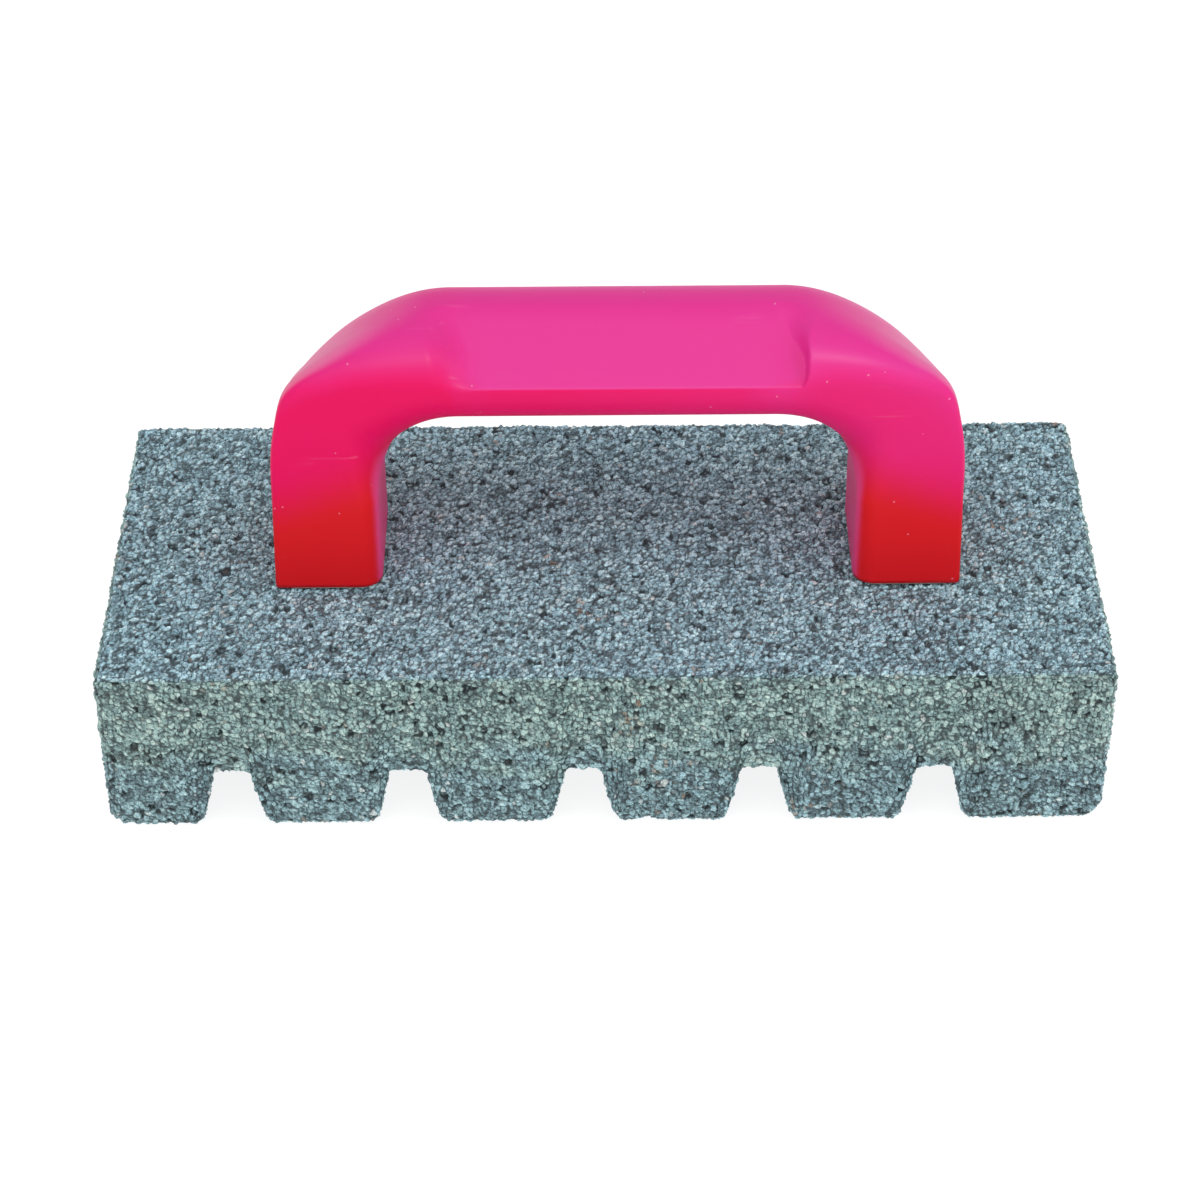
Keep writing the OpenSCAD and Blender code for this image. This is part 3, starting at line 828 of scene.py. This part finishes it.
def handle_stations(handle, half_length, grip_top):
    """Outer and inner point and share of the shoulder at each station of half the handle: a
    straight leg, a shoulder along a quarter superellipse, and a straight grip."""
    shoulder_x = half_length - handle.leg_lean
    gap_half = half_length - handle.foot_length
    spring = handle.finger_gap - handle.inner_radius
    t = np.arange(LEG_STATIONS) / LEG_STATIONS
    leg = np.stack([half_length - handle.leg_lean * t, handle.shoulder_start * t,
                    gap_half + 0 * t, spring * t, 0 * t], -1)
    t = 1 - (1 - np.arange(SHOULDER_STATIONS) / SHOULDER_STATIONS) ** SHOULDER_CROWDING
    bend = t * math.pi / 2
    power = 2 / SHOULDER_POWER
    shoulder = np.stack([
        shoulder_x - handle.shoulder_run * (1 - np.cos(bend) ** power),
        handle.shoulder_start + (grip_top - handle.shoulder_start) * np.sin(bend) ** power,
        gap_half - handle.inner_radius * (1 - np.cos(bend)),
        spring + handle.inner_radius * np.sin(bend), t], -1)
    t = np.arange(GRIP_STATIONS + 1) / GRIP_STATIONS
    grip = np.stack([(shoulder_x - handle.shoulder_run) * (1 - t), grip_top + 0 * t,
                     (gap_half - handle.inner_radius) * (1 - t), handle.finger_gap + 0 * t,
                     1 + 0 * t], -1)
    return np.concatenate([leg, shoulder, grip])


def section_quarter(half_across, half_out, radius, opened, count):
    """A quarter of a section as across and outwards: half size less the corner's radius times
    one minus the cosine or sine to a power. Both radii open from the foot's radius to the whole
    half size, where the corner is a quarter oval."""
    across = radius + (half_across - radius) * opened
    out = radius + (half_out - radius) * opened
    power = 2 / (2 + (GRIP_POWER - 2) * opened)
    turn_by = (np.arange(count) + 0.5) * math.pi / 2 / count
    return np.stack([half_across - across * (1 - np.cos(turn_by) ** power),
                     half_out - out * (1 - np.sin(turn_by) ** power)], -1)


def straight_shares(quarter, count):
    """Spreads the points of a quarter, whose straight sides have none, evenly by length. The
    quarter begins and ends on the section's middle lines."""
    full = np.concatenate([[[quarter[0, 0], 0.0]], quarter, [[0.0, quarter[-1, 1]]]])
    run = np.concatenate([[0], np.cumsum(np.linalg.norm(np.diff(full, axis=0), axis=1))])
    at = (np.arange(count) + 0.5) / count * run[-1]
    return np.stack([np.interp(at, run, full[:, k]) for k in (0, 1)], -1)


def handle_ring(handle, half_across, station):
    """One ring of the sweep, as distance along the block, across it and up: the section at a
    station, set square to the line between the station's outer and inner point. The lead pushes
    its outer side out at the front and in at the back."""
    outer, inner, passed = station[:2], station[2:4], station[4]
    middle, out = (outer + inner) / 2, outer - inner
    half_out = np.linalg.norm(out) / 2
    unit = out / np.linalg.norm(out)

    def quarter(radius, opening, count):
        opened = smooth_step((passed - opening[0]) / (opening[1] - opening[0]))
        curve = section_quarter(half_across, half_out, radius, opened, QUARTER_STEPS)
        return straight_shares(curve, count)

    back = quarter(FOOT_OUTER_RADIUS, BACK_OPENING, BACK_POINTS)
    front = quarter(FOOT_OUTER_RADIUS, FRONT_OPENING, FRONT_POINTS)
    inside = quarter(FOOT_INNER_RADIUS, INNER_OPENING, INNER_POINTS)
    ring = np.concatenate([back, front[::-1] * [-1, 1], inside * [-1, -1],
                           inside[::-1] * [1, -1]])
    lead = (handle.shoulder_lead * math.sin(math.pi * passed) ** 2
            + handle.shoulder_kink * math.exp(-((passed - KINK_AT) / KINK_SPREAD) ** 2))
    outward = ring[:, 1] - lead * ring[:, 0] / half_across * (1 + ring[:, 1] / half_out) / 2
    return np.stack([middle[0] + unit[0] * outward, ring[:, 0], middle[1] + unit[1] * outward],
                    -1)


def press_flat(handle, points, grip_top):
    """Presses the grip's front onto a tilted plane inside a rounded rectangle that runs down
    from the crown line. A point at height h above the plane goes to the rounded minimum
    (h - root(h h + k k)) / 2, where k is the edge's softness, times a smooth step of its
    distance from the rectangle's nearer end over the wall's width."""
    tilt = handle.flat_tilt
    down = points[..., 1] * math.cos(tilt) + (points[..., 2] - grip_top) * math.sin(tilt)
    above = -points[..., 1] * math.sin(tilt) + (points[..., 2] - grip_top) * math.cos(tilt)
    middle = -handle.flat_width / 2
    corner = handle.flat_corner
    past = np.clip(np.abs(down - middle) + middle + corner, 0, corner)
    end = handle.flat_length / 2 - corner + np.sqrt(corner ** 2 - past ** 2)
    inside = end - np.abs(points[..., 0])
    side = smooth_step(0.5 - points[..., 0] / WALL_CHANGE)
    upper = smooth_step(1 + down / WALL_FADE)
    wall = handle.crisp_wall + (handle.soft_wall - handle.crisp_wall) * np.maximum(side, upper)
    inside = inside + (wall - handle.crisp_wall) * WALL_SHIFT * upper
    soft = EDGE_SOFT + CROWN_SOFT * smooth_step(1 + down / CROWN_FADE)
    kept = (above - np.sqrt(above ** 2 + soft ** 2)) / 2
    press = np.where(np.abs(points[..., 2] - grip_top) < FLAT_REACH,
                     (above - kept) * smooth_step(inside / wall), 0)
    moved = points.copy()
    moved[..., 1] += press * math.sin(tilt)
    moved[..., 2] -= press * math.cos(tilt)
    return moved


def foot_rings(rim, middle_x, foot_z):
    """Rings that close a foot: the sole shrinks from the rim to the insert's hole, the hole's
    wall goes up to its roof, and the roof shrinks to its middle. Each ring is the rim mixed
    with a circle at the same turn."""
    count = len(rim)
    spin = np.arctan2(rim[:, 1], rim[:, 0] - middle_x)
    hole = (INSERT_HIGH[0] - INSERT_LOW[0]) / 2 + HOLE_CLEARANCE
    depth = INSERT_HIGH[2] - INSERT_LOW[2] + HOLE_CLEARANCE
    circle = np.stack([middle_x + hole * np.cos(spin), hole * np.sin(spin),
                       np.full(count, foot_z)], -1)
    rings = [rim + (circle - rim) * mix for mix in SOLE_MIXES]
    rings.append(circle + [0, 0, depth / 2])
    rings.append(circle + [0, 0, depth])
    centre = np.array([middle_x, 0, foot_z + depth])
    rings.extend(centre + (circle + [0, 0, depth] - centre) * size for size in ROOF_SIZES)
    return rings, centre


def moulding_masks(handle, along, height, normal, half_length):
    """Four masks of painted light over the sweep's rings: painted sheen on what looks up, with
    painted light on the right and painted shade on the left, the painted reflection of the dark
    stone that makes the red near the feet, painted reflection and shade on the legs' inner faces
    and the painted reflection at the outer edges. Along runs from the handle's middle, and height
    is a share of the handle's. Past the flat the first mask is blurred."""
    outwards = normal[..., 0] * np.sign(along)
    # Painted sheen: a painted reflection of the sky on what looks up
    up = smooth_step((normal[..., 2] + UP_OUTWARDS * outwards - UP_FROM) / UP_RANGE)
    blurred = up
    for _ in range(BLUR_ROUNDS):
        blurred = (np.roll(blurred, 1, 1) + blurred + np.roll(blurred, -1, 1)) / 3
        blurred = (np.roll(blurred, 1, 0) + blurred + np.roll(blurred, -1, 0)) / 3
    past_flat = smooth_step((np.abs(along) - handle.flat_length / 2 + BLUR_BEFORE) / BLUR_FADE)
    up = up + (blurred - up) * past_flat
    # Painted light on the right side, and painted shade on the left side past the flat
    right_side = smooth_step(along / half_length / 2 + 0.5)
    painted_right_light = RIGHT_EXTRA * right_side * smooth_step((height - RIGHT_FROM) / RIGHT_RANGE)
    painted_left_shade = LEFT_LACK * (1 - right_side) * past_flat
    up = np.clip(up * smooth_step(height / UP_HEIGHT) + painted_right_light - painted_left_shade, 0, 1)
    inner_share = np.clip((half_length - np.abs(along)) / handle.foot_length, 0, 1)
    # Painted reflection of the dark stone: the red near the feet
    low = 1 - smooth_step((height - RED_FROM - RED_INNER * inner_share) / RED_RANGE)
    # Painted reflection of the stone and painted shade on the legs' inner faces
    rim = (RIM * smooth_step((-outwards - RIM_FROM) / RIM_RANGE)
           * (1 - smooth_step((height - RIM_UNTIL) / RIM_FADE)))
    # Painted reflection of the white surroundings on the outer edges that look outwards and up
    worn = smooth_step((EDGE_REFLECTION_WEIGHT * (outwards + normal[..., 2]) - EDGE_REFLECTION_FROM) / EDGE_REFLECTION_RANGE)
    return np.stack([up, low, rim, worn], -1)


# Pale scuffs, dust specks and the painted reflection at the outer edges: their colour and how
# much of it each shows
PALE_SCUFF_AND_REFLECTION = (0.86, 0.42, 0.56)
SPECK_SHOWS, SCUFF_SHOWS, EDGE_REFLECTION_LEAST, EDGE_REFLECTION_MOST = 0.4, 0.10, 0.18, 0.42
# How much the clouds move the painted sheen, and what scuffs and clouds add to the roughness
CLOUD_PUSH, SCUFF_ROUGH, CLOUD_ROUGH = 0.10, 0.18, 0.06


def handle_material(handle):
    """Injection-moulded plastic: the tint runs from red at the feet, a painted reflection of the
    dark stone, to pink on what looks upwards, a painted sheen, with painted reflection and shade
    on the legs' inner faces, faint clouds, fine scuffs, dust specks and painted reflection at the
    outer edges."""
    material, tree, shader = new_material(
        "moulded_plastic", IOR=1.49, Specular_IOR_Level=0.13)
    layer = add_node(tree, "ShaderNodeVertexColor", (-1300, 200), {"layer_name": "moulding"})
    parts = add_node(tree, "ShaderNodeSeparateColor", (-1100, 200), Color=layer.outputs[0])
    # Painted sheen, painted reflection near the feet, and painted reflection and shade on the
    # inner faces
    up, low, rim = parts.outputs[0], parts.outputs[1], parts.outputs[2]
    cloud = place_group(tree, "Cloudy Mottle", (-1100, -100), Scale=35.0, Low=0.2, High=0.8)
    # Painted sheen: the front colour goes over to the upper colour where the surface looks up
    pushed = maths(tree, "ADD", up, maths(
        tree, "MULTIPLY", maths(tree, "SUBTRACT", cloud["Value"], 0.5), CLOUD_PUSH), (-800, 100))
    body = blend_colour(tree, pushed, opaque(handle.front), opaque(handle.upper),
                        place=(-600, 200))
    # Painted reflection of the dark stone near the feet
    body = blend_colour(tree, low, body, opaque(handle.lower), place=(-400, 200))
    # Painted reflection of the stone and painted shade on the legs' inner faces
    body = blend_colour(tree, rim, body, opaque(handle.inner), place=(-300, 350))
    specks = place_group(tree, "Scattered Specks", (-600, -200), Scale=620.0, Share=0.032,
                         Size=0.13)
    scuffs = place_group(tree, "Fine Scuffs", (-600, -450), Scale=420.0, Reach=0.5)
    pale = maths(tree, "MAXIMUM", maths(tree, "MULTIPLY", specks["Mask"], SPECK_SHOWS),
                 maths(tree, "MULTIPLY", scuffs["Mask"], SCUFF_SHOWS), (-300, -300))
    # Painted reflection of the white surroundings at the outer edges, thinned by the clouds
    edge_reflection = maths(tree, "MULTIPLY", layer.outputs["Alpha"],
                   remap(tree, cloud["Value"], 0.0, 1.0, EDGE_REFLECTION_LEAST, EDGE_REFLECTION_MOST, (-600, -700)),
                   (-300, -600))
    pale = maths(tree, "MAXIMUM", pale, edge_reflection, (-150, -400))
    coloured = blend_colour(tree, pale, body, opaque(PALE_SCUFF_AND_REFLECTION), place=(0, 200))
    tree.links.new(coloured, shader.inputs["Base Color"])
    rough = maths(tree, "ADD", maths(tree, "MULTIPLY", scuffs["Mask"], SCUFF_ROUGH),
                  maths(tree, "MULTIPLY", cloud["Value"], CLOUD_ROUGH), (0, -200))
    tree.links.new(maths(tree, "ADD", rough, handle.roughness, (200, -200)),
                   shader.inputs["Roughness"])
    place = add_node(tree, "ShaderNodeTexCoord", (-600, -800)).outputs["Object"]
    skin = add_node(tree, "ShaderNodeTexNoise", (-400, -800), Vector=place, Scale=900.0,
                    Detail=2.0)
    height = maths(tree, "ADD", maths(tree, "MULTIPLY", skin.outputs[0], 0.5),
                   maths(tree, "MULTIPLY", scuffs["Height"], 0.5), (-100, -700))
    bump = add_node(tree, "ShaderNodeBump", (100, -600), Height=height, Distance=0.00004,
                    Strength=0.5)
    tree.links.new(bump.outputs[0], shader.inputs["Normal"])
    return material


class RUBBRICK_OT_handle(bpy.types.Operator):
    """Build the moulded handle as one sweep over both legs, shoulders and the grip"""

    bl_idname = "rub_brick.handle"
    bl_label = "Moulded Handle"
    bl_options = {"REGISTER", "UNDO"}

    def execute(self, context):
        handle = context.scene.rub_brick_handle
        foot_z, offset = HANDLE_LOW[2], (HANDLE_LOW[0] + HANDLE_HIGH[0]) / 2
        grip_top = HANDLE_HIGH[2] - foot_z
        half_length = (HANDLE_HIGH[0] - HANDLE_LOW[0]) / 2
        half_across = HANDLE_HIGH[1]
        stations = handle_stations(handle, half_length, grip_top)
        half = np.array([handle_ring(handle, half_across, s) for s in stations])
        rings = np.concatenate([half * [-1, 1, 1], half[-2::-1]])
        rings = press_flat(handle, rings, grip_top) + [offset, 0, foot_z]
        foot_middle = half_length - handle.foot_length / 2
        left, left_centre = foot_rings(rings[0], offset - foot_middle, foot_z)
        right, right_centre = foot_rings(rings[-1], offset + foot_middle, foot_z)
        whole = np.concatenate([np.array(left[::-1]), rings, np.array(right)])
        count = whole.shape[1]
        closed = np.concatenate([whole, whole[:, :1]], 1)
        faces = grid_faces(*closed.shape[:2])
        row, column = np.divmod(faces, count + 1)
        faces = row * count + column % count
        points = whole.reshape(-1, 3)
        first, last = len(points), len(points) + 1
        points = np.concatenate([points, [left_centre, right_centre]])
        ring = np.arange(0, count, 2)
        end = (len(whole) - 1) * count
        fan_left = np.stack([np.full(len(ring), first), (ring + 2) % count, ring + 1, ring], -1)
        fan_right = np.stack([np.full(len(ring), last), end + ring, end + ring + 1,
                              end + (ring + 2) % count], -1)
        faces = np.concatenate([faces, fan_left, fan_right])
        slope = np.gradient(whole, axis=0)
        around = np.roll(whole, -1, 1) - np.roll(whole, 1, 1)
        normal = np.cross(slope, around)
        normal /= np.maximum(np.linalg.norm(normal, axis=-1, keepdims=True), 1e-12)
        grip = whole[len(whole) // 2, :, 2]
        outward = float((normal[len(whole) // 2, :, 2] * (grip - grip.mean())).sum()) > 0
        normal = normal if outward else -normal
        along = whole[..., 0] - offset
        layer = moulding_masks(handle, along, (whole[..., 2] - foot_z) / grip_top, normal,
                               half_length).reshape(-1, 4)
        layer = np.concatenate([layer, np.ones((2, 4))])
        faces = faces if outward else faces[:, ::-1]
        piece = new_piece("moulded_handle", points, faces[:, ::-1],
                          handle_material(handle), True, moulding=layer)
        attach(piece, BODY)
        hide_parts("handle")
        return {"FINISHED"}


# ---------------------------------------------------------------------------------------------
# The hidden fixings
# ---------------------------------------------------------------------------------------------


BRASS, BRASS_ROUGHNESS = (0.60, 0.40, 0.13), 0.30
ZINC, ZINC_ROUGHNESS = (0.52, 0.53, 0.55), 0.32
EPOXY, PALE_EPOXY = (0.36, 0.35, 0.31), (0.46, 0.44, 0.38)
# Tarnish: its brightness as a share of the metal's, and how much of it shows
TARNISH, TARNISH_SHOWS, METAL_SCUFFS = 0.55, 0.4, 0.2


def metal_material(name, colour, roughness):
    """Turned metal: cloudy tarnish in the colour, fine scuffs in the roughness and bump."""
    material, tree, shader = new_material(name, Metallic=1.0)
    cloud = place_group(tree, "Cloudy Mottle", (-600, 100), Scale=180.0, Low=0.3, High=0.7)
    scuffs = place_group(tree, "Fine Scuffs", (-600, -200), Scale=900.0, Reach=0.6)
    dull = tuple(TARNISH * part for part in colour)
    mixed = blend_colour(tree, maths(tree, "MULTIPLY", cloud["Value"], TARNISH_SHOWS),
                         opaque(colour), opaque(dull), place=(-200, 100))
    tree.links.new(mixed, shader.inputs["Base Color"])
    rough = maths(tree, "ADD", maths(tree, "MULTIPLY", scuffs["Mask"], METAL_SCUFFS),
                  roughness)
    tree.links.new(rough, shader.inputs["Roughness"])
    bump = add_node(tree, "ShaderNodeBump", (-200, -300), Height=scuffs["Height"],
                    Distance=0.00003, Strength=0.6)
    tree.links.new(bump.outputs[0], shader.inputs["Normal"])
    return material


def adhesive_material():
    """Cured epoxy: a grey cream with cloudy unevenness and small bubbles."""
    material, tree, shader = new_material("cured_epoxy", IOR=1.55)
    cloud = place_group(tree, "Cloudy Mottle", (-600, 100), Scale=140.0, Low=0.3, High=0.7)
    bubbles = place_group(tree, "Scattered Specks", (-600, -200), Scale=900.0, Share=0.12,
                          Size=0.3)
    mixed = blend_colour(tree, cloud["Value"], opaque(EPOXY), opaque(PALE_EPOXY),
                         place=(-200, 100))
    tree.links.new(mixed, shader.inputs["Base Color"])
    tree.links.new(remap(tree, cloud["Value"], 0.0, 1.0, 0.42, 0.6, (-200, -100)),
                   shader.inputs["Roughness"])
    bump = add_node(tree, "ShaderNodeBump", (-200, -300), Height=bubbles["Mask"],
                    Distance=0.00008, Strength=0.5)
    tree.links.new(bump.outputs[0], shader.inputs["Normal"])
    return material


class RUBBRICK_OT_fixings(bpy.types.Operator):
    """Finish the brass inserts, steel studs and adhesive that the frame already holds"""

    bl_idname = "rub_brick.fixings"
    bl_label = "Inserts, Studs and Adhesive"
    bl_options = {"REGISTER", "UNDO"}

    def execute(self, context):
        finishes = {
            "threaded_insert": metal_material("turned_brass", BRASS, BRASS_ROUGHNESS),
            "stud_adhesive": adhesive_material(),
            "bedding_pad": adhesive_material(),
            "stud": metal_material("zinc_plated_steel", ZINC, ZINC_ROUGHNESS),
        }
        for name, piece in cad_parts.items():
            finish = next((finishes[key] for key in finishes if name.startswith(key)), None)
            if finish is None:
                continue
            for slot in piece.material_slots:
                slot.material = finish
        return {"FINISHED"}


# ---------------------------------------------------------------------------------------------
# The studio
# ---------------------------------------------------------------------------------------------


# Size and place of each lamp, and the point that all of them look at
LAMPS = {
    "key_light": (0.9, (-0.2, -0.55, 1.2)),
    "low_light": (0.7, (0.1, -1.1, 0.42)),
    "side_light": (0.4, (0.75, -0.25, 0.75)),
    "glint_light": (0.16, (0.15, -0.64, 0.93)),
}
LAMP_AIM = (0.0, 0.0, 0.03)
FLOOR_POINTS = 9
# Brightness of the floor's clouds as a share of its colour
FLOOR_CLOUDS = 0.99
# The camera's sensor in millimetres, and the nearest distance that it sees
SENSOR_WIDTH, NEAREST_SEEN = 36.0, 0.01


def soft_light(name, power):
    """A square area light that looks from its place at the lamps' common point."""
    size, place = LAMPS[name]
    light = bpy.data.lights.new(name, "AREA")
    light.energy = power
    light.size = size
    lamp = bpy.data.objects.new(name, light)
    bpy.context.scene.collection.objects.link(lamp)
    back = np.array(place) - np.array(LAMP_AIM)
    back = back / np.linalg.norm(back)
    right = np.cross([0, 0, 1], back)
    right = right / np.linalg.norm(right)
    set_view(lamp, right, np.cross(back, right), back, place)
    return lamp


def set_view(thing, right, up, back, place):
    """Turns a lamp or a camera so that it looks against its back direction."""
    matrix = np.identity(4)
    matrix[:3, 0], matrix[:3, 1], matrix[:3, 2], matrix[:3, 3] = right, up, back, place
    thing.matrix_world = Matrix(matrix.tolist())


class RUBBRICK_OT_studio(bpy.types.Operator):
    """Set up the floor, the soft light and the camera"""

    bl_idname = "rub_brick.studio"
    bl_label = "Studio"
    bl_options = {"REGISTER", "UNDO"}

    def execute(self, context):
        studio = context.scene.rub_brick_studio
        self.make_floor(studio)
        self.make_light(context.scene, studio)
        self.place_camera(context.scene, studio)
        return {"FINISHED"}

    def make_floor(self, studio):
        material, tree, shader = new_material(
            "studio_floor", Roughness=0.9, Specular_IOR_Level=0.1,
            Emission_Strength=studio.floor_glow, Emission_Color=(1.0, 1.0, 1.0, 1.0))
        cloud = place_group(tree, "Cloudy Mottle", (-600, 0), Scale=3.0, Low=0.2, High=0.8)
        pale = blend_colour(tree, cloud["Value"], opaque(studio.floor_colour),
                            opaque([FLOOR_CLOUDS * part for part in studio.floor_colour]),
                            place=(-300, 0))
        tree.links.new(pale, shader.inputs["Base Color"])
        side = np.linspace(-0.5, 0.5, FLOOR_POINTS) * studio.floor_size
        x, y = np.meshgrid(side, side)
        points = np.stack([x, y, 0 * x + BLOCK_LOW[2]], -1).reshape(-1, 3)
        floor = new_piece("floor", points, grid_faces(FLOOR_POINTS, FLOOR_POINTS), material,
                          False)

    def make_light(self, scene, studio):
        world = bpy.data.worlds.new("even_white")
        scene.world = world
        world.use_nodes = True
        sky = world.node_tree.nodes["Background"]
        sky.inputs["Color"].default_value = (1.0, 1.0, 1.0, 1.0)
        sky.inputs["Strength"].default_value = studio.sky
        soft_light("key_light", studio.key)
        soft_light("low_light", studio.low)
        soft_light("side_light", studio.side)
        soft_light("glint_light", studio.glint).visible_diffuse = False
        scene.view_settings.view_transform = "Standard"

    def place_camera(self, scene, studio):
        a, e, roll = studio.azimuth, studio.elevation, studio.roll
        back = np.array([math.sin(a) * math.cos(e), -math.cos(a) * math.cos(e), math.sin(e)])
        right = np.array([math.cos(a), math.sin(a), 0.0])
        up = np.cross(back, right)
        turned_right = right * math.cos(roll) + up * math.sin(roll)
        turned_up = up * math.cos(roll) - right * math.sin(roll)
        aim = (np.array([0.0, 0.0, BLOCK_HIGH[2]]) + turned_right * studio.shift_right
               + turned_up * studio.shift_up)
        data = bpy.data.cameras.new("camera")
        data.sensor_width = SENSOR_WIDTH
        data.lens = studio.lens
        data.clip_start = NEAREST_SEEN
        camera = bpy.data.objects.new("camera", data)
        scene.collection.objects.link(camera)
        set_view(camera, turned_right, turned_up, back, aim + back * studio.distance)
        scene.camera = camera


# ---------------------------------------------------------------------------------------------
# Panel and registration
# ---------------------------------------------------------------------------------------------


class RUBBRICK_PT_sidebar(bpy.types.Panel):
    """Sidebar panel that lists the steps and their sizes"""

    bl_idname = "RUBBRICK_PT_sidebar"
    bl_label = "Fluted Rub Brick"
    bl_space_type = "VIEW_3D"
    bl_region_type = "UI"
    bl_category = "Rub Brick"

    def draw(self, context):
        for settings, steps in (
                (context.scene.rub_brick_stone, ["rub_brick.stone"]),
                (context.scene.rub_brick_handle, ["rub_brick.handle", "rub_brick.fixings"]),
                (context.scene.rub_brick_studio, ["rub_brick.studio"])):
            box = self.layout.box()
            for step in steps:
                box.operator(step)
            for key in settings.bl_rna.properties.keys():
                if key not in ("rna_type", "name"):
                    box.prop(settings, key)


CLASSES = (RubBrickStone, RubBrickHandle, RubBrickStudio, RUBBRICK_OT_stone, RUBBRICK_OT_handle,
           RUBBRICK_OT_fixings, RUBBRICK_OT_studio, RUBBRICK_PT_sidebar)
SETTINGS = {"rub_brick_stone": RubBrickStone, "rub_brick_handle": RubBrickHandle,
            "rub_brick_studio": RubBrickStudio}


def register():
    for item in CLASSES:
        bpy.utils.register_class(item)
    for key, settings in SETTINGS.items():
        setattr(bpy.types.Scene, key, bpy.props.PointerProperty(type=settings))


def unregister():
    for key in SETTINGS:
        delattr(bpy.types.Scene, key)
    for item in reversed(CLASSES):
        bpy.utils.unregister_class(item)


def main():
    register()
    bpy.ops.rub_brick.studio()
    bpy.ops.rub_brick.stone()
    bpy.ops.rub_brick.handle()
    bpy.ops.rub_brick.fixings()


if __name__ == "__main__":
    main()
